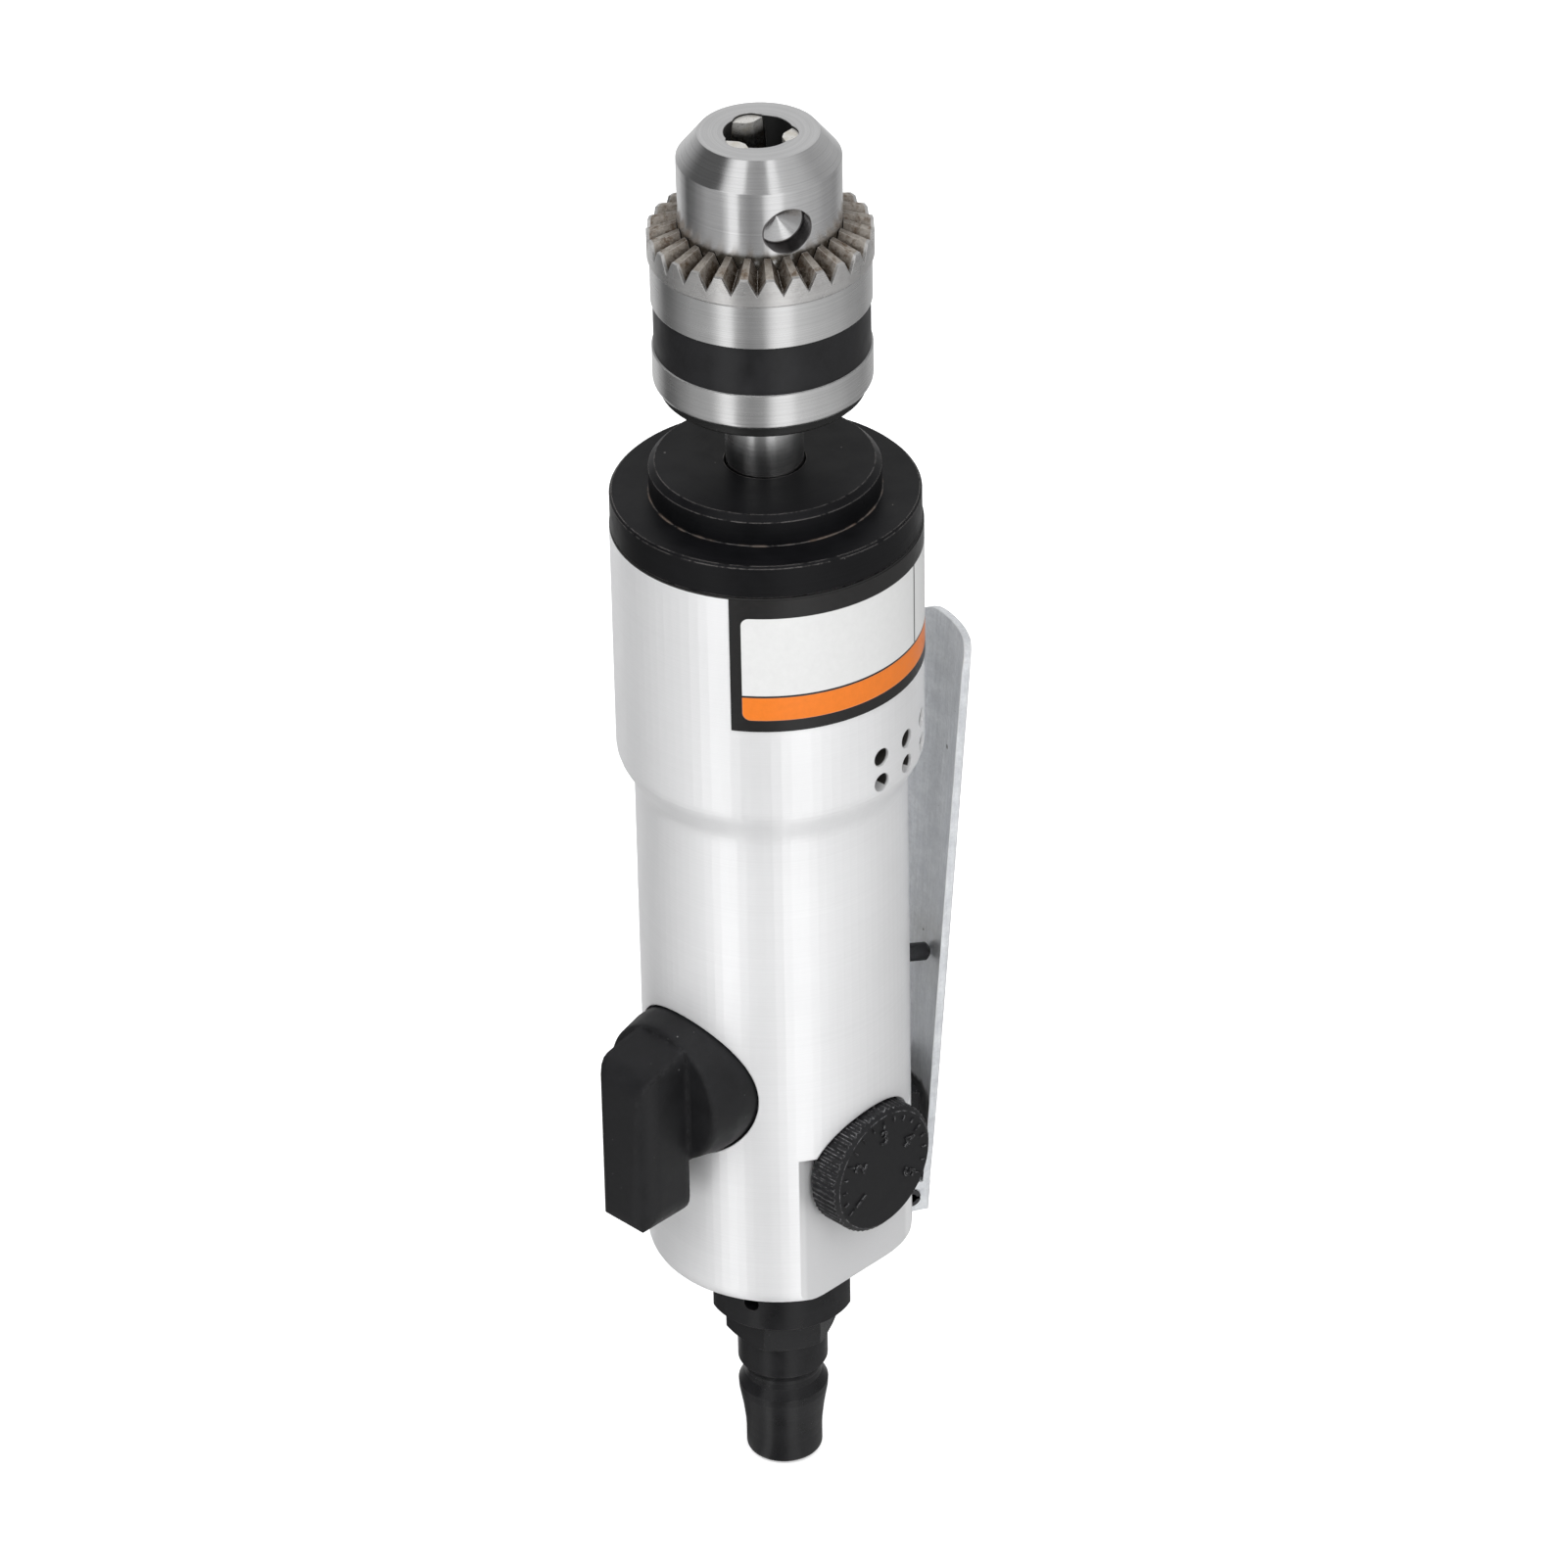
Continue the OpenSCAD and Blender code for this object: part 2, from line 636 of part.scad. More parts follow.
module front_cap() {
  skirt_r = head_bore_r - 0.05;
  color("dimgray") difference() {
    rotate_extrude() polygon([
      [0, z_skirt], [skirt_r - 0.5, z_skirt], [skirt_r, z_skirt + 0.5], [skirt_r, z_flange],
      [flange_r - 2 * rim, z_flange], [flange_r, z_flange + 2 * rim], [flange_r, z_boss - 0.3],
      [flange_r - 0.3, z_boss],
      [boss_r, z_boss], [boss_r, z_cap - 0.8], [boss_r - 0.8, z_cap], [0, z_cap]
    ]);
    // Bore of the bearings, the ledge above them and the groove of the circlip below them
    translate([0, 0, z_skirt - 1]) cylinder(r = spindle_bearing_r, h = z_clip - z_skirt + 1);
    translate([0, 0, z_skirt - 1]) cylinder(r = bearing_ledge_r, h = z_ceiling - z_skirt + 1);
    translate([0, 0, z_bearing_clip - fit]) cylinder(r = spindle_bearing_r + 0.7, h = circlip_t + 2 * fit);
    cylinder(r = spindle_r + cap_gap, h = z_nose);
    // Seat of the spindle seal
    translate([0, 0, z_ceiling - 1]) cylinder(r = spindle_r + 2.2, h = 2.2);
  }
}

module spindle_seal() {
  color("black") ring(spindle_r + 2.2, spindle_r + 0.1, z_ceiling, z_ceiling + 1.15);
}

module spindle_circlip() {
  color("gray") difference() {
    ring(journal_r + 1.1, journal_r - 0.4, z_clip, z_clip + circlip_t);
    translate([-1.5, 0, z_clip - 1]) cube([3, journal_r * 2, circlip_t + 2]);
  }
}

module bearing_circlip() {
  color("gray") difference() {
    ring(spindle_bearing_r + 0.6, spindle_bearing_r - 1, z_bearing_clip, z_bearing_clip + circlip_t);
    translate([-2, 0, z_bearing_clip - 1]) cube([4, spindle_bearing_r * 2, circlip_t + 2]);
  }
}

module spindle_bearing_front_outer() {
  color("silver") bearing_outer(spindle_bearing_r, journal_r, z_bearing_mid, z_clip);
}

module spindle_bearing_front_inner() {
  color("silver") bearing_inner(spindle_bearing_r, journal_r, z_bearing_mid, z_clip);
}

module spindle_bearing_rear_outer() {
  color("silver") bearing_outer(spindle_bearing_r, journal_r, z_bearing_low, z_bearing_mid);
}

module spindle_bearing_rear_inner() {
  color("silver") bearing_inner(spindle_bearing_r, journal_r, z_bearing_low, z_bearing_mid);
}

// Output shaft with the planet carrier at its foot and the chuck taper at its tip
module spindle() {
  taper_top = z_chuck + taper_len - 0.5;
  color("lightgray") difference() {
    rotate_extrude() polygon([
      [0, z_carrier_low], [carrier_r - 0.3, z_carrier_low], [carrier_r, z_carrier_low + 0.3],
      [carrier_r, z_carrier - 0.3], [carrier_r - 0.3, z_carrier], [journal_r + 1.2, z_carrier],
      [journal_r + 1.2, z_bearing_low], [journal_r, z_bearing_low], [journal_r, z_clip],
      [journal_r - 0.4, z_clip], [journal_r - 0.4, z_clip + circlip_t], [journal_r, z_clip + circlip_t],
      [journal_r, z_ceiling - 0.1], [spindle_r, z_ceiling - 0.1], [spindle_r, z_chuck],
      [spindle_r - taper_drop, taper_top], [0, taper_top]
    ]);
    for (i = [0:2])
      rotate([0, 0, i * 120]) translate([planet_reach, 0, z_carrier_low - 1])
        cylinder(r = planet_pin_r, h = carrier_t + 2, $fn = 48);
    // Relief over the end of the motor pinion
    translate([0, 0, z_carrier_low - 1]) cylinder(r = 3, h = 2.5, $fn = 48);
  }
}

module planet_pins() {
  color("gray") for (i = [0:2])
    rotate([0, 0, i * 120]) translate([planet_reach, 0, z_planet - 0.1])
      cylinder(r = planet_pin_r, h = z_carrier - z_planet + 0.1, $fn = 48);
}

module planet_gear(index) {
  pitch = gear_module * planet_teeth / 2;
  theta = index * 120;
  phase = theta * sun_teeth / 360;
  turn = theta + 180 - (0.5 - phase) * 360 / planet_teeth;
  color("darkgray") rotate([0, 0, theta]) translate([planet_reach, 0, z_planet]) rotate([0, 0, turn - theta])
    difference() {
      linear_extrude(z_planet_top - z_planet)
        polygon(gear_points(planet_teeth, pitch + gear_module, pitch - 1.25 * gear_module, gear_play));
      translate([0, 0, -1])
        cylinder(r = planet_pin_r + planet_gap, h = z_planet_top - z_planet + 2, $fn = 48);
    }
}

module ring_gear() {
  pitch = gear_module * ring_teeth / 2;
  relief = pitch + 1.25 * gear_module + 0.1;
  color("gray") difference() {
    translate([0, 0, z_ring]) cylinder(r = head_bore_r - 0.05, h = z_skirt - z_ring);
    translate([0, 0, z_ring - 1]) rotate([0, 0, ring_turn]) linear_extrude(z_skirt - z_ring + 2)
      polygon(gear_points(ring_teeth, pitch + 1.25 * gear_module, pitch - gear_module, -gear_play));
    translate([0, 0, z_ring - 1]) cylinder(r = relief, h = z_washer - z_ring + 1);
    translate([0, 0, z_planet_top]) cylinder(r = relief, h = z_skirt - z_planet_top + 1);
  }
}

module gear_washer() {
  pitch = gear_module * ring_teeth / 2;
  color("tan") ring(pitch + gear_module, front_bearing_r + 0.6, z_plate_boss, z_washer);
}

// Line of a jaw: local Z runs up the jaw to the tip of the nose
module jaw_line(index) {
  rotate([0, 0, jaw_azimuth + index * 120 - 90]) translate([jaw_mid_r, 0, z_nose]) rotate([0, -jaw_slope, 0])
    children();
}

module chuck_body() {
  low_r = sleeve_bore_r - sleeve_gap;
  color("lightgray") difference() {
    rotate_extrude() polygon([
      [0, z_chuck], [rear_ring_r - 0.4, z_chuck], [rear_ring_r, z_chuck + 0.4], [rear_ring_r, z_rear_ring],
      [low_r, z_rear_ring], [low_r, z_seat], [nose_r, z_seat], [nose_r, z_nose - nose_bevel_h],
      [nose_face_r, z_nose], [0, z_nose]
    ]);
    // Taper socket and tool hole
    translate([0, 0, z_chuck])
      cylinder(r1 = spindle_r + fit, r2 = spindle_r - taper_drop + fit, h = taper_len);
    translate([0, 0, z_chuck - 1]) cylinder(r = spindle_r + fit, h = 1.01);
    translate([0, 0, z_web]) cylinder(r = tool_hole_r, h = chuck_h, $fn = 64);
    for (i = [0:2]) {
      jaw_line(i) translate([0, 0, -jaw_len - 5.5])
        cylinder(r = jaw_r + jaw_gap, h = jaw_len + 10, $fn = 48);
      radial(pilot_azimuth + i * 120, z_pilot) {
        translate([0, 0, nose_r - pilot_depth]) cylinder(r = pilot_r, h = nose_r, $fn = 48);
        translate([0, 0, nose_r - pilot_depth - 1.2])
          cylinder(r1 = 0.01, r2 = pilot_r, h = 1.2001, $fn = 48);
      }
    }
  }
}

module chuck_jaw(index) {
  grip_half = 60;
  reach = sleeve_r;
  color("lightgray") intersection() {
    jaw_line(index) translate([0, 0, -jaw_sunk / cos(jaw_slope) - jaw_len])
      cylinder(r = jaw_r, h = jaw_len + 1, $fn = 48);
    // Wedge whose edge faces the axis
    rotate([0, 0, jaw_azimuth + index * 120 - 90]) translate([0, 0, z_chuck]) linear_extrude(chuck_h)
      polygon([
        [jaw_open + 0.3, 0.5], [jaw_open + 0.3, -0.5],
        [jaw_open + reach, -reach * tan(grip_half)], [jaw_open + reach, reach * tan(grip_half)]
      ]);
    // Back and tip trimmed square
    ring(sleeve_bore_r - 0.6, 0.1, z_chuck, jaw_tip_z);
  }
}

// Half angle of the cone through the chuck axis on which the tooth tips lie
function tip_z(r) = z_pilot - (z_pilot - z_tooth_tip) * r / gear_tip_r;

module chuck_sleeve() {
  inner = nose_r + sleeve_gap;
  band_low = z_sleeve + band_foot;
  gap_slope = atan((z_pilot - z_tooth_tip + tooth_gap_h) / gear_tip_r);
  color("lightgray") difference() {
    rotate_extrude() polygon(concat(
      [[inner, z_sleeve]],
      arc(sleeve_r - sleeve_round, z_sleeve + sleeve_round, sleeve_round, -90, 0, 5),
      [
        [sleeve_r, band_low], [sleeve_r - band_depth, band_low],
        [sleeve_r - band_depth, band_low + band_h], [sleeve_r, band_low + band_h],
        [sleeve_r, z_teeth], [gear_tip_r, z_teeth + 0.3], [gear_tip_r, z_tooth_tip], [inner, tip_z(inner)]
      ]
    ));
    translate([0, 0, z_sleeve - 1]) cylinder(r = sleeve_bore_r, h = nut_foot + nut_h + 1);
    for (i = [0:key_teeth - 1])
      rotate([0, 0, tooth_azimuth - 90 + i * 360 / key_teeth]) translate([0, 0, z_pilot])
        rotate([0, 90 + gap_slope, 0]) translate([0, 0, inner - 2]) linear_extrude(8)
          polygon([[0, 0], [-4, 4 * tan(tooth_flank)], [-4, -4 * tan(tooth_flank)]]);
  }
}

// Split nut whose cone lies on the backs of the jaws
module chuck_nut() {
  back = function(z) jaw_reach + (z_nose - z) * tan(jaw_slope) + 0.12;
  split = 0.4;
  color("gray") difference() {
    ring(sleeve_bore_r, nose_r + sleeve_gap, z_nut, z_nut + nut_h);
    translate([0, 0, z_nut - 0.01])
      cylinder(r1 = back(z_nut), r2 = back(z_nut + nut_h), h = nut_h + 0.02);
    translate([-sleeve_r, -split / 2, z_nut - 1]) cube([2 * sleeve_r, split, nut_h + 2]);
  }
}

// Ports through the rear end plate line up with the air passages of the housing
module motor_ports(low, high) {
  for (side = [-port_angle, port_angle])
    rotate([0, 0, reverse_azimuth + side]) translate([0, -port_reach, low])
      cylinder(r = port_r, h = high - low, $fn = 32);
}

module cylinder_pin_place(low, high) {
  rotate([0, 0, reverse_azimuth + 180]) translate([0, cylinder_pin_inset - cylinder_r, low])
    cylinder(r = cylinder_pin_r, h = high - low, $fn = 32);
}

module cylinder_pin() {
  color("gray") cylinder_pin_place(z_cylinder - cylinder_pin_depth, z_front_plate + cylinder_pin_depth);
}

module rear_end_plate() {
  color("darkgray") difference() {
    ring(cylinder_r, rear_journal_r + 0.3, z_floor, z_cylinder);
    translate([0, 0, z_floor - 1]) cylinder(r = rear_bearing_r, h = rotor_bearing_h + 1);
    motor_ports(z_floor - 1, z_cylinder + 1);
    cylinder_pin_place(z_cylinder - cylinder_pin_depth, z_cylinder + 1);
  }
}

module motor_cylinder() {
  color("gray") difference() {
    translate([0, 0, z_cylinder]) cylinder(r = cylinder_r, h = cylinder_len);
    rotate([0, 0, reverse_azimuth]) translate([0, -chamber_shift, z_cylinder - 1])
      cylinder(r = chamber_r, h = cylinder_len + 2);
    // Exhaust slots on the wide side of the chamber, above the foot of the gear bore
    for (i = [0:2])
      radial(reverse_azimuth, z_head_bore + 2 + i * 3)
        translate([-4, 0, 0]) cube([8, 1.6, head_r]);
    cylinder_pin_place(z_cylinder - 1, z_front_plate + 1);
  }
}

module front_end_plate() {
  pitch = gear_module * ring_teeth / 2;
  color("darkgray") difference() {
    union() {
      ring(cylinder_r, front_journal_r + 0.3, z_front_plate, z_ring);
      ring(head_bore_r - 0.05, front_journal_r + 0.3, z_ring - plate_flange_t, z_ring);
      ring(pitch + gear_module, front_journal_r + 0.3, z_ring - 1, z_plate_boss);
    }
    translate([0, 0, z_plate_boss - rotor_bearing_h]) cylinder(r = front_bearing_r, h = rotor_bearing_h + 1);
    cylinder_pin_place(z_front_plate - 1, z_front_plate + cylinder_pin_depth);
  }
}

// Rotor with its blade slots, its two journals and the pinion that drives the planets
module rotor() {
  pitch = gear_module * sun_teeth / 2;
  low = z_cylinder + axial_gap;
  high = z_front_plate - axial_gap;
  color("gray") union() {
    difference() {
      translate([0, 0, low]) cylinder(r = rotor_r, h = high - low);
      for (i = [0:blade_count - 1])
        rotate([0, 0, i * 360 / blade_count])
          translate([rotor_r - blade_depth, -blade_t / 2 - 0.05, low - 1])
          cube([rotor_r, blade_t + 0.1, high - low + 2]);
    }
    translate([0, 0, z_floor + axial_gap]) cylinder(r = rear_journal_r, h = low - z_floor);
    translate([0, 0, high - 1]) cylinder(r = front_journal_r, h = z_plate_boss - high + 1.2);
    translate([0, 0, z_plate_boss]) linear_extrude(z_planet_top - z_plate_boss)
      polygon(gear_points(sun_teeth, pitch + gear_module, pitch - 1.25 * gear_module, gear_play));
  }
}

module rotor_blades() {
  low = z_cylinder + axial_gap;
  high = z_front_plate - axial_gap;
  color("sienna") for (i = [0:blade_count - 1])
    rotate([0, 0, i * 360 / blade_count])
      translate([rotor_r - blade_depth + 0.05, -blade_t / 2, low])
        cube([blade_depth - 0.15, blade_t, high - low]);
}

module rotor_bearing_front_outer() {
  color("silver")
    bearing_outer(front_bearing_r, front_journal_r, z_plate_boss - rotor_bearing_h, z_plate_boss);
}

module rotor_bearing_front_inner() {
  color("silver")
    bearing_inner(front_bearing_r, front_journal_r, z_plate_boss - rotor_bearing_h, z_plate_boss);
}

module rotor_bearing_rear_outer() {
  color("silver") bearing_outer(rear_bearing_r, rear_journal_r, z_floor, z_floor + rotor_bearing_h);
}

module rotor_bearing_rear_inner() {
  color("silver") bearing_inner(rear_bearing_r, rear_journal_r, z_floor, z_floor + rotor_bearing_h);
}

// Lever frame: local X across the lever, local Y up the lever, local Z outwards, origin at its pivot
module lever_place() {
  radial(lever_azimuth, z_pivot) translate([0, 0, pivot_reach]) rotate([lever_lean, 0, 0]) children();
}

module lever() {
  inner = (lever_reach - pivot_reach) * cos(lever_lean);
  top = (z_lever_top - z_pivot) / cos(lever_lean);
  foot = -ear_r - 0.75;
  difference() {
    color("silver") lever_place() union() {
      // Hollow plate, cut to its outline
      intersection() {
        translate([0, 0, inner - lever_hollow_r]) rotate([-90, 0, 0]) translate([0, 0, foot]) difference() {
          cylinder(r = lever_hollow_r + lever_t, h = top - foot);
          translate([0, 0, -1]) cylinder(r = lever_hollow_r, h = top - foot + 2);
        }
        linear_extrude(lever_hollow_r) polygon(rounded([
          [-ear_half, foot, 2.2], [ear_half, foot, 2.2],
          [ear_half, ear_r, 0], [lever_half, lever_waist_h, 6],
          [lever_half, top, 4], [-lever_half, top, 4], [-lever_half, lever_waist_h, 6], [-ear_half, ear_r, 0]
        ]));
      }
      // Ears round the pivot
      for (side = [-1, 1])
        translate([side * (ear_half - ear_t / 2), 0, 0]) rotate([0, 90, 0]) {
          cylinder(r = ear_r, h = ear_t, center = true, $fn = 48);
          translate([-inner - 0.2, -ear_r, -ear_t / 2]) cube([inner + 0.2, 2 * ear_r, ear_t]);
        }
    }
    lever_place() rotate([0, 90, 0]) cylinder(r = lever_pin_r + 0.05, h = 30, center = true, $fn = 48);
  }
}

// Rolled spring pin with its slot
module lever_pin() {
  long = 2 * (ear_half + 0.3);
  color("dimgray") lever_place() rotate([0, 90, 0]) difference() {
    cylinder(r = lever_pin_r, h = long, center = true, $fn = 48);
    cylinder(r = lever_pin_r * 0.55, h = long + 2, center = true, $fn = 48);
    translate([-lever_pin_r * 2, -0.2, -long]) cube([lever_pin_r * 2, 0.4, 2 * long]);
  }
}

module screw_place() {
  radial(lever_azimuth, z_pivot + slot_h - 5) translate([0, 0, slot_reach]) children();
}

// Hinge block in the slot of the housing: a narrow tongue between the ears and a full head above them
module lever_bracket() {
  tongue = ear_half - ear_t - bracket_gap;
  head = slot_half - bracket_gap;
  neck = ear_r + 1;
  color("dimgray") difference() {
    radial(lever_azimuth, z_pivot) union() {
      translate([-tongue, -ear_r, slot_reach]) cube([2 * tongue, ear_r + neck, bracket_reach - slot_reach]);
      translate([-head, neck, slot_reach]) cube([2 * head, slot_h - neck - bracket_gap, screw_seat]);
    }
    lever_place() rotate([0, 90, 0]) cylinder(r = lever_pin_r, h = 30, center = true, $fn = 48);
    screw_place() {
      translate([0, 0, -1]) cylinder(r = screw_r + 0.1, h = 10, $fn = 48);
      translate([0, 0, screw_seat - 2]) cylinder(r = screw_head_r + 0.2, h = 10, $fn = 48);
    }
  }
}

module bracket_screw() {
  color("black") screw_place() difference() {
    union() {
      translate([0, 0, -4.5]) cylinder(r = screw_r, h = screw_seat + 2.6, $fn = 48);
      translate([0, 0, screw_seat - 2]) cylinder(r = screw_head_r, h = 1.8, $fn = 48);
    }
    translate([0, 0, screw_seat - 1.3]) cylinder(r = screw_r - 0.1, h = 3, $fn = 6);
  }
}

// Throttle line: local Z points outwards along the throttle pin, origin where it leaves the grip
module throttle_place() {
  radial(lever_azimuth, z_throttle) translate([0, 0, grip_r]) rotate([throttle_tilt, 0, 0]) children();
}

module throttle_bushing() {
  pin_len = throttle_bush_len / 2;
  color("goldenrod") throttle_place() translate([0, 0, -bush_in]) difference() {
    cylinder(r = throttle_bore_r, h = throttle_bush_len);
    translate([0, 0, -1]) cylinder(r = seat_r, h = throttle_bush_len - pin_len + 1, $fn = 48);
    cylinder(r = stem_r + 0.05, h = throttle_bush_len + 1, $fn = 48);
    // Outlet at the underside and groove of the stem seal
    translate([0, 0, throttle_bush_len - pin_len - 2]) rotate([90, 0, 0])
      cylinder(r = port_r, h = throttle_bore_r + 1, $fn = 32);
    translate([0, 0, throttle_bush_len - 2]) cylinder(r = stem_r + 1.15, h = 3, $fn = 48);
  }
}

module throttle_seal() {
  color("black") throttle_place() translate([0, 0, -bush_out - 1.2])
    difference() {
      cylinder(r = stem_r + 1.1, h = 1, $fn = 48);
      translate([0, 0, -1]) cylinder(r = stem_r + 0.06, h = 3, $fn = 48);
    }
}

module throttle_stem() {
  inner_end = -ball_in + ball_r + fit;
  color("gray") throttle_place() translate([0, 0, inner_end]) union() {
    cylinder(r = stem_r, h = stem_out - inner_end - 0.4, $fn = 48);
    translate([0, 0, stem_out - inner_end - 0.4])
      cylinder(r1 = stem_r, r2 = stem_r - 0.4, h = 0.4, $fn = 48);
  }
}

module throttle_ball() {
  color("silver") throttle_place() translate([0, 0, -ball_in]) sphere(r = ball_r, $fn = 48);
}

// Coil spring between the ball and the blind end of the throttle bore
module throttle_spring() {
  sides = 6;
  per_turn = 14;
  coil_r = ball_r - 0.9;
  low = -throttle_depth + spring_wire_r + 0.1;
  high = -ball_in - sqrt(ball_r * ball_r - coil_r * coil_r) - spring_wire_r - 0.15;
  rings = spring_turns * per_turn;
  pts = [for (i = [0:rings])
    let (a = 360 * i / per_turn, z = low + (high - low) * i / rings)
    for (j = [0:sides - 1])
      let (b = 360 * j / sides, r = coil_r + spring_wire_r * cos(b))
      [r * cos(a), r * sin(a), z + spring_wire_r * sin(b)]];
  sides_faces = [for (i = [0:rings - 1], j = [0:sides - 1])
    let (k = (j + 1) % sides)
    [i * sides + j, i * sides + k, (i + 1) * sides + k, (i + 1) * sides + j]];
  ends = [[for (j = [sides - 1:-1:0]) j], [for (j = [0:sides - 1]) rings * sides + j]];
  echo(spring_gap = (high - low) / spring_turns - 2 * spring_wire_r);
  color("silver") throttle_place() polyhedron(points = pts, faces = concat(sides_faces, ends));
}

// Pin beside a valve, in a groove that keeps the valve from sliding out
module stop_pin_space(azimuth, z, valve_r, shrink) {
  radial(azimuth, z) translate([-stop_pin_half, valve_r + stop_pin_seat, stop_pin_reach]) rotate([0, 90, 0])
    cylinder(r = stop_pin_r - shrink, h = 2 * stop_pin_half, $fn = 32);
}

// Valve spindle with a seal groove, a stop groove and a cross hole
module valve(radius, back, front) {
  difference() {
    translate([0, 0, back]) cylinder(r = radius, h = front - back);
    for (z = [back + seal_back, front - seal_front])
      translate([0, 0, z]) rotate_extrude() translate([radius, 0]) circle(r = seal_r + 0.05, $fn = 32);
    translate([0, 0, stop_pin_reach]) rotate_extrude() translate([radius + stop_pin_seat, 0])
      circle(r = stop_pin_r + 0.1, $fn = 32);
  }
}

module reversing_valve() {
  color("goldenrod") radial(reverse_azimuth, z_reverse) union() {
    difference() {
      valve(reverse_valve_r, -reverse_valve_depth, reverse_floor);
      // Milled passage between the centre and the two motor ports
      translate([-reverse_valve_r, reverse_valve_r - 2.2, 8.2]) cube([2 * reverse_valve_r, 5, 2.4]);
      translate([0, 0, 0]) rotate([-90, 0, 0]) cylinder(r = air_r, h = 10, $fn = 32);
    }
    // Square that drives the knob
    translate([-2.5, -2.5, reverse_floor - 1]) cube([5, 5, 4.5]);
  }
}

module reversing_seals() {
  color("black") radial(reverse_azimuth, z_reverse)
    for (z = [-reverse_valve_depth + seal_back, reverse_floor - seal_front])
      translate([0, 0, z]) seal_cut(reverse_valve_r);
}

// Seal ring squeezed to the bore that it seals
module seal_cut(radius) {
  intersection() {
    seal_ring(radius, seal_r);
    translate([0, 0, -2]) cylinder(r = radius + valve_gap - 0.005, h = 4);
  }
}

module reversing_stop_pin() {
  color("gray") stop_pin_space(reverse_azimuth, z_reverse, reverse_valve_r, 0.02);
}

module reversing_knob() {
  half = bar_w / 2;
  back = reverse_back + 3;
  slope = 0.296;
  front = bar_reach - 0.7;
  brow = reverse_skirt_r - 0.3 - (front - back) * slope;
  color("#2b2b2b") radial(reverse_azimuth, z_reverse) difference() {
    union() {
      rotate_extrude() polygon(concat(
        [[0, reverse_back], [reverse_skirt_r, reverse_back], [reverse_skirt_r, grip_r]],
        arc(reverse_face_r - 0.4, reverse_face - 0.4, 0.4, 10, 90, 4),
        [[0, reverse_face]]
      ));
      // Grip bar: side view, front view and top view
      intersection() {
        rotate([90, 0, 90]) linear_extrude(bar_w, center = true) polygon(rounded([
          [reverse_skirt_r - 0.3, back, 0], [brow, front, 3.6], [-bar_drop, bar_reach, 3],
          [-bar_drop, reverse_face, 0.6],
          [-reverse_face_r + 1, reverse_face, 0], [-reverse_face_r + 1, back, 0]
        ]));
        translate([0, 0, reverse_back]) linear_extrude(bar_reach) polygon(rounded([
          [-half, -bar_drop, 3.6], [half, -bar_drop, 3.6],
          [half, reverse_skirt_r, 3.6], [-half, reverse_skirt_r, 3.6]
        ]));
        rotate([90, 0, 0]) linear_extrude(4 * reverse_skirt_r, center = true) polygon(rounded([
          [-half, reverse_back, 0], [half, reverse_back, 0], [half, bar_reach, 3.2], [-half, bar_reach, 3.2]
        ]));
      }
    }
    // Square socket of the valve
    translate([-2.55, -2.55, reverse_back - 1]) cube([5.1, 5.1, 5]);
  }
}

module speed_valve() {
  color("goldenrod") radial(speed_azimuth, z_speed) union() {
    difference() {
      valve(speed_valve_r, -speed_valve_r + 0.3, flat_reach);
      rotate([90, 0, 0]) cylinder(r = air_r, h = 20, center = true, $fn = 32);
    }
    translate([-1.75, -1.75, flat_reach - 1]) cube([3.5, 3.5, 3.8]);
  }
}

module speed_seal() {
  color("black") radial(speed_azimuth, z_speed) translate([0, 0, flat_reach - seal_front])
    seal_cut(speed_valve_r);
}

module speed_stop_pin() {
  color("gray") stop_pin_space(speed_azimuth, z_speed, speed_valve_r, 0.02);
}

module speed_knob() {
  depth = speed_face - speed_back;
  points = 2 * knurl_count;
  color("#2b2b2b") radial(speed_azimuth, z_speed) translate([0, 0, speed_back]) difference() {
    intersection() {
      linear_extrude(depth) polygon([for (i = [0:points - 1])
        (speed_r - (i % 2) * knurl_depth) * [cos(180 * i / knurl_count), sin(180 * i / knurl_count)]]);
      rotate_extrude() polygon([
        [0, 0], [speed_r - 0.6, 0], [speed_r + 0.1, 0.7],
        [speed_r + 0.1, depth - 0.7], [speed_r - 0.7, depth], [0, depth]
      ]);
    }
    // Square socket of the valve
    translate([-1.8, -1.8, -1]) cube([3.6, 3.6, 3.8]);
  }
}

module inlet_bushing() {
  low = z_bushing;
  color("#262626") difference() {
    union() {
      intersection() {
        rotate_extrude() polygon([
          [0, low], [bushing_r - 0.3, low], [bushing_r, low + 0.3], [bushing_r, z_body], [0, z_body]
        ]);
        translate([-bushing_flats / 2, -bushing_r - 1, low])
          cube([bushing_flats, 2 * bushing_r + 2, bushing_len]);
      }
      translate([0, 0, z_body - 1]) cylinder(r = bushing_thread_r, h = bushing_thread_len + 1);
    }
    translate([0, 0, low - 1]) cylinder(r = plug_thread_r, h = plug_thread_len + 1.2);
    translate([0, 0, low]) cylinder(r = plug_thread_r - 1.5, h = 40);
    // Seat of the inlet screen
    translate([0, 0, z_body + bushing_thread_len - 2]) cylinder(r = plug_thread_r, h = 3);
    // Small hole for a pin wrench
    radial(bushing_hole_azimuth, z_body - bushing_hole_drop) translate([0, 0, bushing_r - 2])
      cylinder(r = bushing_hole_r, h = 5, $fn = 32);
  }
}

module inlet_seal() {
  color("black")
    ring(plug_thread_r, plug_bore_r + 0.4, z_bushing + plug_thread_len, z_bushing + plug_thread_len + 0.2);
}

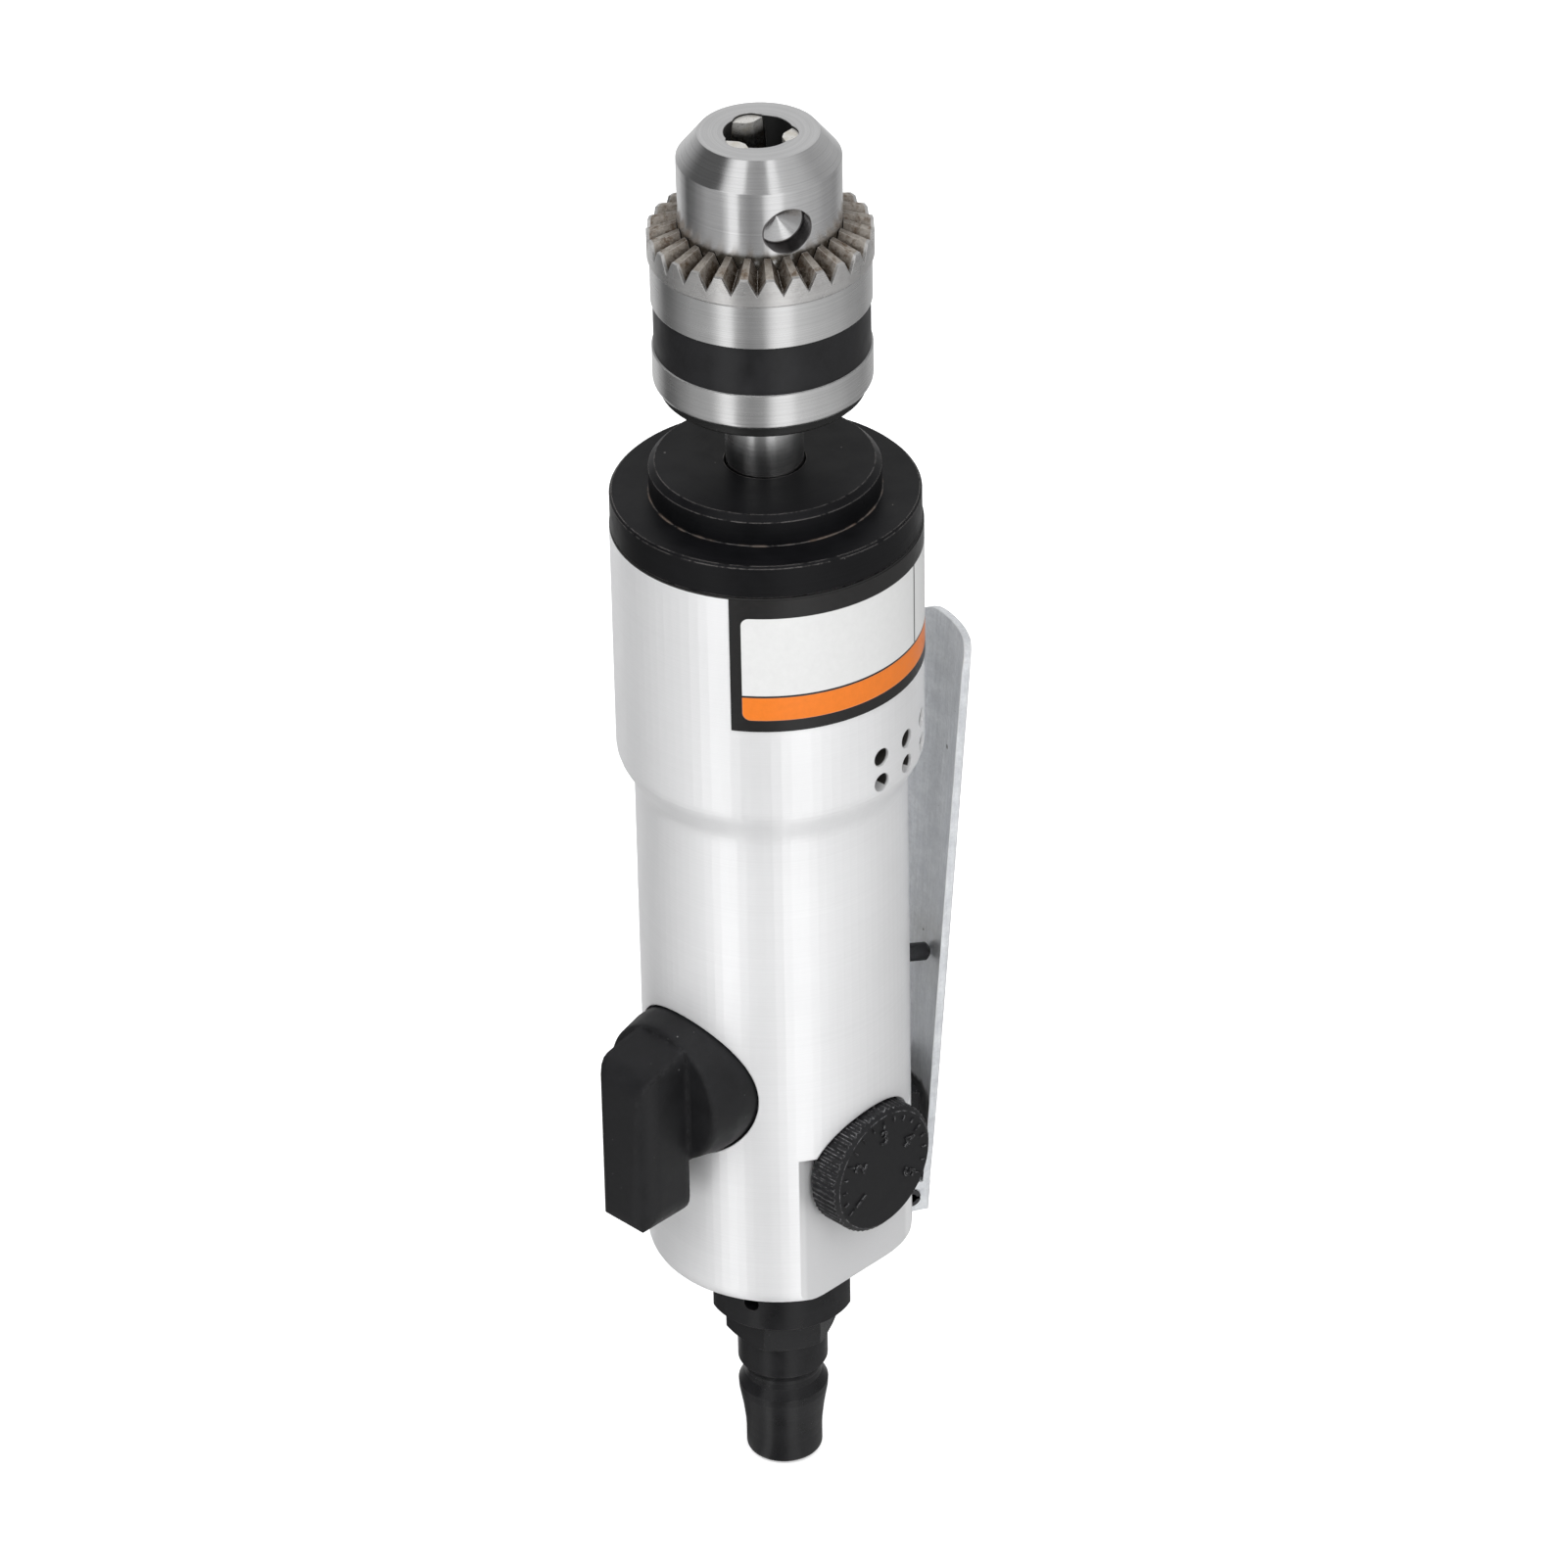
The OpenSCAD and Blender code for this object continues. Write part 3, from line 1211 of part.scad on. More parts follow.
// Perforated disc that keeps dirt out of the motor
module inlet_screen() {
  low = z_body + bushing_thread_len - 2;
  color("gainsboro") difference() {
    translate([0, 0, low]) cylinder(r = plug_thread_r, h = 0.8);
    for (i = [0:6])
      rotate([0, 0, i * 60]) translate([i == 6 ? 0 : 3, 0, low - 1]) cylinder(r = 0.9, h = 3, $fn = 24);
  }
}

// Quick coupling plug: tip, waist, collar, hexagon and thread
module air_plug() {
  groove = plug_tip_len - groove_drop;
  hex_r = plug_hex / sqrt(3);
  color("#202020") difference() {
    union() {
      rotate_extrude() polygon(concat(
        [[0, 0], [plug_tip_r - 0.6, 0]],
        arc(plug_tip_r - 0.6, 0.6, 0.6, -60, 0, 4),
        [
          [plug_tip_r, groove - 10], [plug_tip_r + 0.1, groove - 8.4], [plug_tip_r + 0.3, groove - 6.7],
          [plug_tip_r + 0.42, groove - 5.8], [plug_r - 0.23, groove - 4.1], [plug_r - 0.06, groove - 3.1],
          [plug_r, groove - 2], [plug_waist_r, groove - 0.6], [plug_waist_r, groove + 0.3],
          [plug_waist_r + 0.12, groove + 0.9], [plug_waist_r + 0.42, groove + 1.5],
          [plug_r - 0.1, groove + 2], [plug_r, plug_tip_len], [plug_r, z_bushing], [0, z_bushing]
        ]
      ));
      intersection() {
        translate([0, 0, z_bushing - plug_hex_h]) rotate([0, 0, hex_turn])
          cylinder(r = hex_r, h = plug_hex_h, $fn = 6);
        translate([0, 0, z_bushing - plug_hex_h])
          cylinder(r1 = plug_hex / 2 + 0.2, r2 = plug_hex / 2 + 9, h = plug_hex_h);
      }
      translate([0, 0, z_bushing - 1]) cylinder(r = plug_thread_r, h = plug_thread_len + 1);
    }
    translate([0, 0, -1]) cylinder(r = plug_bore_r, h = z_bushing + plug_thread_len + 2, $fn = 64);
  }
}

housing();
label();
front_cap();
spindle_seal();
spindle_circlip();
bearing_circlip();
spindle_bearing_front_outer();
spindle_bearing_front_inner();
spindle_bearing_rear_outer();
spindle_bearing_rear_inner();
spindle();
planet_pins();
planet_gear(0);  // planet_gear_1
planet_gear(1);  // planet_gear_2
planet_gear(2);  // planet_gear_3
ring_gear();
gear_washer();
chuck_body();
chuck_sleeve();
chuck_nut();
chuck_jaw(0);  // chuck_jaw_1
chuck_jaw(1);  // chuck_jaw_2
chuck_jaw(2);  // chuck_jaw_3
front_end_plate();
rear_end_plate();
motor_cylinder();
cylinder_pin();
rotor();
rotor_blades();
rotor_bearing_front_outer();
rotor_bearing_front_inner();
rotor_bearing_rear_outer();
rotor_bearing_rear_inner();
lever();
lever_pin();
lever_bracket();
bracket_screw();
throttle_bushing();
throttle_seal();
throttle_stem();
throttle_ball();
throttle_spring();
reversing_knob();
reversing_valve();
reversing_seals();
reversing_stop_pin();
speed_knob();
speed_valve();
speed_seal();
speed_stop_pin();
inlet_bushing();
inlet_seal();
inlet_screen();
air_plug();
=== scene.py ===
import bpy
import bmesh
import math
from mathutils import Matrix, Vector


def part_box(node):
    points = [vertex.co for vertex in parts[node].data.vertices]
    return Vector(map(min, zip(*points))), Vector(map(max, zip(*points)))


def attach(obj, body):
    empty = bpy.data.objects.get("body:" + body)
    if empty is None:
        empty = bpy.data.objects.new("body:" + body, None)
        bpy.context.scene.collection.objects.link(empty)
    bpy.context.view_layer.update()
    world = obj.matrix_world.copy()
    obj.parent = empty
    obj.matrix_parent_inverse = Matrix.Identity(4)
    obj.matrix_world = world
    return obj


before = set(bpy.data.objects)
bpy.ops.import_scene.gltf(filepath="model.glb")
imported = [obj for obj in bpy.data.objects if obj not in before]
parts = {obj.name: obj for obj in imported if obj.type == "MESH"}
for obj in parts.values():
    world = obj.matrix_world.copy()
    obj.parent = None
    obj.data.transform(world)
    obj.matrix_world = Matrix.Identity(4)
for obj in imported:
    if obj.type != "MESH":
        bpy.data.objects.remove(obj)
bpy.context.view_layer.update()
scene = bpy.context.scene
MM = 0.001

# Places on the tool where a material changes, in millimetres and degrees
EXHAUST_LOW, EXHAUST_HIGH, EXHAUST_WALL_R = 115.75, 122.5, 19.7
HOUSING_TOP = 147.9
FLANGE_TOP = 152.8
BOSS_R = 14.9
LABEL_START, LABEL_LOW, LABEL_R = -14.2, 128.5, 20.22
REAR_RING_TOP = 168.95
SLEEVE_BAND_LOW, SLEEVE_BAND_HIGH, SLEEVE_BAND_R = 174.0, 180.8, 13.55
TEETH_LOW, TEETH_WALL_R = 186.4, 14.05
NOSE_FOOT = 191.6
NOSE_TOP = 203.86
PILOT_AZIMUTH, PILOT_Z, PILOT_R = 19.6, 195.0, 3.1
# The two lever heights here bound the painted shade on the lever's inner face
LEVER_AZIMUTH, LEVER_SHADE_LOW, LEVER_SHADE_HIGH = 112, 34.0, 55.5
DIAL_AZIMUTH = 45


# ---------------------------------------------------------------- node helpers

class Shader:
    """A material's node tree, with coordinates in millimetres in the tool's own frame."""

    def __init__(self, name):
        self.mat = bpy.data.materials.new(name)
        self.mat.use_nodes = True
        self.tree = self.mat.node_tree
        self.tree.nodes.clear()
        self.out = self.add("ShaderNodeOutputMaterial")
        self.bsdf = self.add("ShaderNodeBsdfPrincipled")
        self.tree.links.new(self.bsdf.outputs[0], self.out.inputs[0])
        coords = self.add("ShaderNodeTexCoord")
        self.p = self.scale(coords.outputs["Object"], 1000.0)
        self.x, self.y, self.z = self.split(self.p)
        self.r = self.math("SQRT", self.math("ADD", self.math("MULTIPLY", self.x, self.x),
                                             self.math("MULTIPLY", self.y, self.y)))

    def add(self, kind, **settings):
        node = self.tree.nodes.new(kind)
        for key, value in settings.items():
            setattr(node, key, value)
        return node

    def put(self, value, socket):
        """Links a socket, or sets a plain value."""
        if isinstance(value, bpy.types.NodeSocket):
            self.tree.links.new(value, socket)
        elif hasattr(socket.default_value, "__len__") and not hasattr(value, "__len__"):
            socket.default_value = [value] * 3 + [1.0] * (len(socket.default_value) - 3)
        elif hasattr(value, "__len__") and len(value) == 3 and len(socket.default_value) == 4:
            socket.default_value = (*value, 1.0)
        else:
            socket.default_value = value

    def set(self, name, value):
        self.put(value, self.bsdf.inputs[name])

    def math(self, operation, a, b=0.0):
        node = self.add("ShaderNodeMath", operation=operation)
        self.put(a, node.inputs[0])
        self.put(b, node.inputs[1])
        return node.outputs[0]

    def scale(self, vector, factor):
        node = self.add("ShaderNodeVectorMath", operation="SCALE")
        self.put(vector, node.inputs[0])
        self.put(factor, node.inputs["Scale"])
        return node.outputs[0]

    def split(self, vector):
        node = self.add("ShaderNodeSeparateXYZ")
        self.put(vector, node.inputs[0])
        return node.outputs[0], node.outputs[1], node.outputs[2]

    def join(self, x, y, z):
        node = self.add("ShaderNodeCombineXYZ")
        for value, socket in zip((x, y, z), node.inputs):
            self.put(value, socket)
        return node.outputs[0]

    def dot(self, vector, direction):
        node = self.add("ShaderNodeVectorMath", operation="DOT_PRODUCT")
        self.put(vector, node.inputs[0])
        self.put(direction, node.inputs[1])
        return node.outputs["Value"]

    def noise(self, size, vector=None, detail=2.0, roughness=0.5):
        """Noise whose features are about size millimetres across."""
        node = self.add("ShaderNodeTexNoise")
        self.put(vector if vector is not None else self.p, node.inputs["Vector"])
        self.put(1.0 / size, node.inputs["Scale"])
        self.put(detail, node.inputs["Detail"])
        self.put(roughness, node.inputs["Roughness"])
        return node.outputs["Fac"]

    def ramp(self, value, low, high, to_low=0.0, to_high=1.0, smooth=True):
        node = self.add("ShaderNodeMapRange", interpolation_type="SMOOTHSTEP" if smooth else "LINEAR")
        for v, i in zip((value, low, high, to_low, to_high), range(5)):
            self.put(v, node.inputs[i])
        return node.outputs[0]

    def band(self, value, low, high, soft=0.05):
        """1 between low and high, 0 outside."""
        return self.math("MULTIPLY", self.ramp(value, low - soft, low + soft),
                         self.ramp(value, high - soft, high + soft, 1.0, 0.0))

    def mix(self, factor, a, b):
        node = self.add("ShaderNodeMix", data_type="RGBA")
        self.put(factor, node.inputs["Factor"])
        self.put(a, node.inputs[6])
        self.put(b, node.inputs[7])
        return node.outputs[2]

    def lerp(self, factor, a, b):
        node = self.add("ShaderNodeMix", data_type="FLOAT")
        self.put(factor, node.inputs["Factor"])
        self.put(a, node.inputs[2])
        self.put(b, node.inputs[3])
        return node.outputs[0]

    def tint(self, color, value, amount):
        """The colour darker by amount where value is low, and lighter by amount where it is high."""
        node = self.add("ShaderNodeHueSaturation")
        gain = self.ramp(value, 0.25, 0.75, 1.0 - amount, 1.0 + amount, smooth=False)
        self.put(gain, node.inputs["Value"])
        self.put(color, node.inputs["Color"])
        return node.outputs[0]

    def specks(self, cell, size, share):
        """Small spots: cells of a given size, of which a share holds a spot."""
        node = self.add("ShaderNodeTexVoronoi")
        self.put(self.p, node.inputs["Vector"])
        self.put(1.0 / cell, node.inputs["Scale"])
        chosen = self.math("LESS_THAN", self.split(node.outputs["Color"])[0], share)
        spot = self.ramp(node.outputs["Distance"], size / cell * 0.6, size / cell, 1.0, 0.0)
        return self.math("MULTIPLY", chosen, spot)

    def edges(self, radius, low=0.03, high=0.3):
        """1 on sharp edges, from the difference between the plain and the rounded normal."""
        bevel = self.add("ShaderNodeBevel", samples=4)
        bevel.inputs["Radius"].default_value = radius * MM
        plain = self.add("ShaderNodeNewGeometry")
        node = self.add("ShaderNodeVectorMath", operation="DOT_PRODUCT")
        self.put(bevel.outputs[0], node.inputs[0])
        self.put(plain.outputs["Normal"], node.inputs[1])
        self.soft_normal = bevel.outputs[0]
        return self.ramp(self.math("SUBTRACT", 1.0, node.outputs["Value"]), low, high)

    def hollow(self, distance, low, high):
        """1 in narrow hollows."""
        node = self.add("ShaderNodeAmbientOcclusion", samples=6, only_local=True)
        node.inputs["Distance"].default_value = distance * MM
        return self.ramp(node.outputs["AO"], low, high, 1.0, 0.0)

    def bump(self, height, depth, normal=None):
        """depth in millimetres for height 0 to 1."""
        node = self.add("ShaderNodeBump")
        self.put(1.0, node.inputs["Strength"])
        self.put(depth * MM, node.inputs["Distance"])
        self.put(height, node.inputs["Height"])
        if normal is not None:
            self.put(normal, node.inputs["Normal"])
        return node.outputs[0]

    def turned(self, fine, drift):
        """Streaks that run round the spindle axis, as a lathe leaves them."""
        return self.noise(1.0, self.join(self.math("MULTIPLY", self.r, 1.0 / fine),
                                         self.math("MULTIPLY", self.z, 1.0 / fine),
                                         self.math("MULTIPLY", self.x, drift)), detail=3.0, roughness=0.6)

    def brush(self, amount):
        """Anisotropic shine of a surface turned about the spindle axis."""
        tangent = self.add("ShaderNodeTangent", direction_type="RADIAL", axis="Z")
        self.put(tangent.outputs[0], self.bsdf.inputs["Tangent"])
        self.set("Anisotropic", amount)
        self.set("Anisotropic Rotation", 0.25)


def cover(material, *names):
    """Puts the material on every slot of the named pieces."""
    for name in names:
        for slot in parts[name].material_slots:
            slot.material = material


def radial_frame(azimuth, z):
    """Local Z points outwards at an azimuth, local Y up and local X to the right as seen from outside."""
    return (Matrix.Translation((0, 0, z * MM)) @ Matrix.Rotation(math.radians(azimuth), 4, "Z")
            @ Matrix.Rotation(math.radians(90), 4, "X"))


# ---------------------------------------------------------------- camera

def camera_axes(yaw, pitch, roll):
    """Right, down and forward of a camera that looks along +Y when all three angles are 0."""
    cy, sy = math.cos(yaw), math.sin(yaw)
    cp, sp = math.cos(pitch), math.sin(pitch)
    cr, sr = math.cos(roll), math.sin(roll)
    ahead = Vector((sy * cp, cy * cp, -sp))
    side = Vector((cy, -sy, 0))
    down = ahead.cross(side)
    return cr * side + sr * down, -sr * side + cr * down, ahead


FOCAL_PIXELS, PHOTO_PIXELS, SENSOR = 8061.186, 1601.0, 36.0
camera_data = bpy.data.cameras.new("camera")
camera_data.sensor_fit = "HORIZONTAL"
camera_data.sensor_width = SENSOR
camera_data.lens = FOCAL_PIXELS / PHOTO_PIXELS * SENSOR
camera_data.clip_end = 20.0
camera = bpy.data.objects.new("camera", camera_data)
right, down, ahead = camera_axes(yaw=0.0018857, pitch=0.5718479, roll=0.0193124)
turn = Matrix((right, -down, -ahead)).transposed().to_4x4()
camera.matrix_world = Matrix.Translation((0, -0.86681, 0.665475)) @ turn
scene.collection.objects.link(camera)
scene.camera = camera
scene.view_settings.view_transform = "Standard"


# ---------------------------------------------------------------- metals

def housing_metal():
    s = Shader("housing_aluminium")
    lathe = s.turned(0.10, 0.015)
    broad = s.noise(14.0, s.join(s.x, s.y, s.math("MULTIPLY", s.z, 0.3)), detail=1.0)
    cloud = s.noise(5.0, detail=3.0)
    color = s.tint((0.87, 0.87, 0.875), broad, 0.05)
    color = s.tint(color, lathe, 0.03)
    speck = s.math("MAXIMUM", s.specks(4.0, 0.22, 0.10), s.specks(7.0, 0.40, 0.05))
    scratch = s.noise(1.0, s.join(s.math("MULTIPLY", s.x, 0.9), s.math("MULTIPLY", s.y, 0.9),
                                  s.math("MULTIPLY", s.z, 5.0)), detail=4.0, roughness=0.75)
    scratch = s.ramp(scratch, 0.66, 0.78)
    color = s.mix(s.math("MULTIPLY", scratch, 0.16), color, (0.50, 0.50, 0.51))
    color = s.mix(s.math("MULTIPLY", speck, 0.6), color, (0.14, 0.13, 0.12))
    # Duller inside; painted shade in the exhaust holes and a painted shadow line under the flange
    inside = s.ramp(s.r, 17.0, 17.4, 1.0, 0.0)
    color = s.mix(s.math("MULTIPLY", inside, 0.25), color, (0.45, 0.45, 0.46))
    # Painted shade on the walls of the exhaust holes
    exhaust = s.math("MULTIPLY", s.band(s.z, EXHAUST_LOW, EXHAUST_HIGH, 0.05),
                     s.ramp(s.r, EXHAUST_WALL_R - 0.15, EXHAUST_WALL_R + 0.15, 1.0, 0.0))
    color = s.mix(exhaust, color, (0.03, 0.028, 0.026))
    # Painted shadow: a near-black line where the flange overhangs the housing
    gap = s.ramp(s.z, HOUSING_TOP - 0.04, HOUSING_TOP + 0.03)
    color = s.mix(gap, color, (0.02, 0.02, 0.02))
    s.set("Base Color", color)
    s.set("Metallic", s.lerp(s.math("MAXIMUM", exhaust, gap), 0.5, 0.1))
    s.set("Roughness", s.math("ADD", s.ramp(cloud, 0.3, 0.7, 0.34, 0.40), s.math("MULTIPLY", lathe, 0.08)))
    s.edges(0.25)  # for its rounded normal
    height = s.math("ADD", lathe, s.math("MULTIPLY", scratch, -0.5))
    s.set("Normal", s.bump(height, 0.004, s.soft_normal))
    s.brush(0.72)
    cover(s.mat, "housing")


def turned_steel(name, color, rough, fine, depth, anisotropic, wear=0.0):
    """Bright lathe-turned steel; returns the open shader, its colour, roughness and normal, and its edges."""
    s = Shader(name)
    lathe = s.turned(fine, 0.03)
    broad = s.noise(6.0, detail=2.0)
    base = s.tint(s.tint(color, lathe, 0.10), broad, 0.06)
    edge = s.edges(0.15)
    base = s.mix(s.math("MULTIPLY", edge, wear), base, (0.85, 0.85, 0.85))
    roughness = s.math("ADD", s.ramp(broad, 0.3, 0.7, rough - 0.04, rough + 0.05),
                       s.math("MULTIPLY", lathe, 0.06))
    normal = s.bump(lathe, depth, s.soft_normal)
    s.set("Metallic", 1.0)
    s.brush(anisotropic)
    return s, base, roughness, normal, edge


def sleeve_metal():
    s, base, rough, normal, edge = turned_steel("sleeve_steel", (0.77, 0.77, 0.77), 0.21, 0.16, 0.004, 0.84,
                                                wear=0.35)
    # Sintered bevel teeth, oily in the gaps and at their inner ends; their outer wall is nearly bare
    teeth = s.math("MULTIPLY", s.ramp(s.z, TEETH_LOW, TEETH_LOW + 0.5),
                   s.ramp(s.r, TEETH_WALL_R - 0.3, TEETH_WALL_R, 1.0, 0.25))
    grain = s.noise(0.35, detail=3.0, roughness=0.7)
    blotch = s.noise(1.1, detail=4.0, roughness=0.65)
    sinter = s.mix(s.ramp(blotch, 0.45, 0.68), (0.42, 0.385, 0.345), (0.17, 0.125, 0.09))
    sinter = s.tint(sinter, grain, 0.30)
    oil = s.math("MULTIPLY", s.hollow(2.6, 0.30, 0.95),
                 s.ramp(s.noise(0.8, detail=3.0), 0.32, 0.52, 0.65, 1.0))
    oil = s.math("MAXIMUM", oil, s.ramp(s.r, 10.6, 13.2, 0.62, 0.0))
    sinter = s.mix(oil, sinter, (0.045, 0.030, 0.018))
    sinter = s.mix(s.math("MULTIPLY", edge, 0.8), sinter, (0.82, 0.78, 0.74))
    base = s.mix(teeth, base, sinter)
    # Black band in its shallow recess
    band = s.math("MULTIPLY", s.band(s.z, SLEEVE_BAND_LOW, SLEEVE_BAND_HIGH, 0.03),
                  s.ramp(s.r, SLEEVE_BAND_R - 0.05, SLEEVE_BAND_R + 0.05))
    stain_and_painted_shade = s.noise(2.5, s.join(s.x, s.y, s.math("MULTIPLY", s.z, 0.7)), detail=4.0)
    base = s.mix(band, base, s.tint((0.010, 0.010, 0.011), stain_and_painted_shade, 0.35))
    s.set("Base Color", base)
    s.set("Metallic", s.math("MULTIPLY", s.lerp(band, 1.0, 0.0), s.lerp(teeth, 1.0, 0.7)))
    s.set("Specular IOR Level", 0.35)
    rough = s.lerp(teeth, rough, s.ramp(oil, 0.0, 1.0, 0.42, 0.25))
    s.set("Roughness", s.lerp(band, rough, s.ramp(stain_and_painted_shade, 0.3, 0.7, 0.34, 0.46)))
    s.set("Normal", s.bump(s.math("MULTIPLY", grain, teeth), 0.03, normal))
    cover(s.mat, "chuck_sleeve")


def nose_metal():
    s, base, rough, normal, edge = turned_steel("nose_steel", (0.77, 0.77, 0.775), 0.16, 0.14, 0.003, 0.85,
                                                wear=0.35)
    # The rear ring is blackened; the bore and the jaw ways are painted near-black as painted shade in the
    # cavity
    dark = s.math("MAXIMUM", s.ramp(s.z, REAR_RING_TOP - 0.05, REAR_RING_TOP + 0.05, 1.0, 0.0),
                  s.math("MULTIPLY", s.ramp(s.r, 5.2, 5.6, 1.0, 0.0), s.ramp(s.z, NOSE_TOP, NOSE_TOP - 0.06)))
    dark = s.math("MULTIPLY", dark, s.math("SUBTRACT", 1.0, s.math("MULTIPLY", edge, 0.55)))
    # Oily line where the nose meets the teeth
    foot = s.ramp(s.z, NOSE_FOOT, NOSE_FOOT + 0.8, 1.0, 0.0)
    grime = s.math("MULTIPLY", foot, s.ramp(s.noise(1.2, detail=4.0), 0.25, 0.5))
    base = s.mix(s.math("MULTIPLY", grime, 0.88), base, (0.07, 0.055, 0.03))
    # Painted shade on the walls of the three pilot holes
    for index in range(3):
        azimuth = math.radians(PILOT_AZIMUTH + 120 * index)
        across = s.dot(s.p, (math.cos(azimuth), math.sin(azimuth), 0.0))
        out = s.dot(s.p, (math.sin(azimuth), -math.cos(azimuth), 0.0))
        high = s.math("SUBTRACT", s.z, PILOT_Z)
        gap = s.math("SQRT", s.math("ADD", s.math("MULTIPLY", across, across),
                                    s.math("MULTIPLY", high, high)))
        wall = s.math("MULTIPLY", s.band(gap, PILOT_R - 0.15, PILOT_R + 0.15, 0.03),
                      s.band(out, 6.0, 10.05, 0.1))
        base = s.mix(s.math("MULTIPLY", wall, 0.85), base, (0.07, 0.06, 0.06))
    s.set("Base Color", s.mix(dark, base, (0.012, 0.012, 0.012)))
    s.set("Metallic", s.lerp(dark, 1.0, 0.3))
    s.set("Roughness", s.lerp(dark, rough, 0.42))
    s.set("Normal", normal)
    cover(s.mat, "chuck_body")


def spindle_metal():
    s, base, rough, normal, _ = turned_steel("spindle_steel", (0.74, 0.74, 0.74), 0.19, 0.18, 0.0015, 0.85)
    tarnish = s.ramp(s.noise(3.0, detail=3.0), 0.5, 0.75)
    s.set("Base Color", s.mix(s.math("MULTIPLY", tarnish, 0.12), base, (0.40, 0.36, 0.32)))
    s.set("Roughness", rough)
    s.set("Normal", normal)
    cover(s.mat, "spindle", "planet_pins")


def jaw_metal():
    s = Shader("jaw_steel")
    grain = s.noise(0.4, detail=3.0, roughness=0.7)
    stain_and_painted_shade = s.noise(1.5, detail=3.0)
    base = s.tint(s.mix(s.ramp(stain_and_painted_shade, 0.4, 0.7), (0.66, 0.65, 0.63), (0.46, 0.41, 0.32)), grain, 0.12)
    edge = s.edges(0.12)
    tip = s.ramp(s.z, 201.5, 203.2)
    base = s.mix(s.math("MULTIPLY", tip, 0.5), base, (0.86, 0.84, 0.80))
    s.set("Base Color", s.mix(s.math("MULTIPLY", edge, 0.6), base, (0.92, 0.91, 0.89)))
    s.set("Metallic", s.lerp(tip, 1.0, 0.7))
    s.set("Roughness", s.ramp(grain, 0.3, 0.7, 0.26, 0.42))
    s.set("Normal", s.bump(grain, 0.012, s.soft_normal))
    cover(s.mat, "chuck_jaw_1", "chuck_jaw_2", "chuck_jaw_3")


def cap_metal():
    s = Shader("cap_blackened")
    lathe = s.turned(0.22, 0.03)
    cloud = s.noise(4.0, detail=4.0, roughness=0.6)
    edge = s.edges(0.22, 0.006, 0.06)
    base = s.tint(s.tint((0.0045, 0.0045, 0.0052), cloud, 0.25), lathe, 0.20)
    dust = s.math("MAXIMUM", s.specks(1.6, 0.12, 0.12), s.specks(3.2, 0.18, 0.08))
    base = s.mix(s.math("MULTIPLY", dust, 0.5), base, (0.25, 0.24, 0.23))
    # Bare metal on the worn edges, and a brownish line in the corner at the foot of the boss
    rub = s.math("MULTIPLY", edge, s.ramp(s.noise(1.8, detail=4.0, roughness=0.7), 0.38, 0.58))
    corner = s.math("MULTIPLY", s.band(s.r, BOSS_R - 0.04, BOSS_R + 0.18, 0.05),
                    s.ramp(s.noise(3.0), 0.45, 0.6))
    corner = s.math("MULTIPLY", corner, s.ramp(s.z, FLANGE_TOP + 0.15, FLANGE_TOP + 0.25, 1.0, 0.0))
    base = s.mix(s.math("MULTIPLY", corner, 0.45), base, (0.20, 0.15, 0.12))
    base = s.mix(s.math("MULTIPLY", rub, 0.6), base, (0.40, 0.38, 0.37))
    s.set("Base Color", base)
    s.set("Metallic", s.math("MULTIPLY", rub, 0.9))
    s.set("Roughness", s.math("ADD", s.ramp(cloud, 0.3, 0.7, 0.30, 0.42),
                              s.math("MULTIPLY", lathe, 0.10)))
    s.set("Specular IOR Level", 0.17)
    s.set("Normal", s.bump(lathe, 0.010, s.soft_normal))
    s.brush(0.35)
    cover(s.mat, "front_cap")


def plug_metal():
    s = Shader("plug_blackened")
    lathe = s.turned(0.2, 0.03)
    cloud = s.noise(3.0, detail=3.0)
    edge = s.edges(0.2, 0.02, 0.25)
    rub = s.math("MULTIPLY", edge, s.ramp(s.noise(1.5, detail=4.0, roughness=0.7), 0.4, 0.65))
    base = s.tint(s.tint((0.009, 0.009, 0.010), cloud, 0.3), lathe, 0.2)
    base = s.mix(s.math("MULTIPLY", s.specks(1.8, 0.09, 0.10), 0.35), base, (0.22, 0.21, 0.20))
    s.set("Base Color", s.mix(s.math("MULTIPLY", rub, 0.5), base, (0.30, 0.29, 0.28)))
    s.set("Metallic", s.math("MULTIPLY", rub, 0.8))
    s.set("Roughness", s.ramp(cloud, 0.3, 0.7, 0.26, 0.38))
    s.set("Specular IOR Level", 0.28)
    s.set("Normal", s.bump(lathe, 0.008, s.soft_normal))
    s.brush(0.3)
    cover(s.mat, "air_plug", "inlet_bushing", "lever_bracket", "bracket_screw")


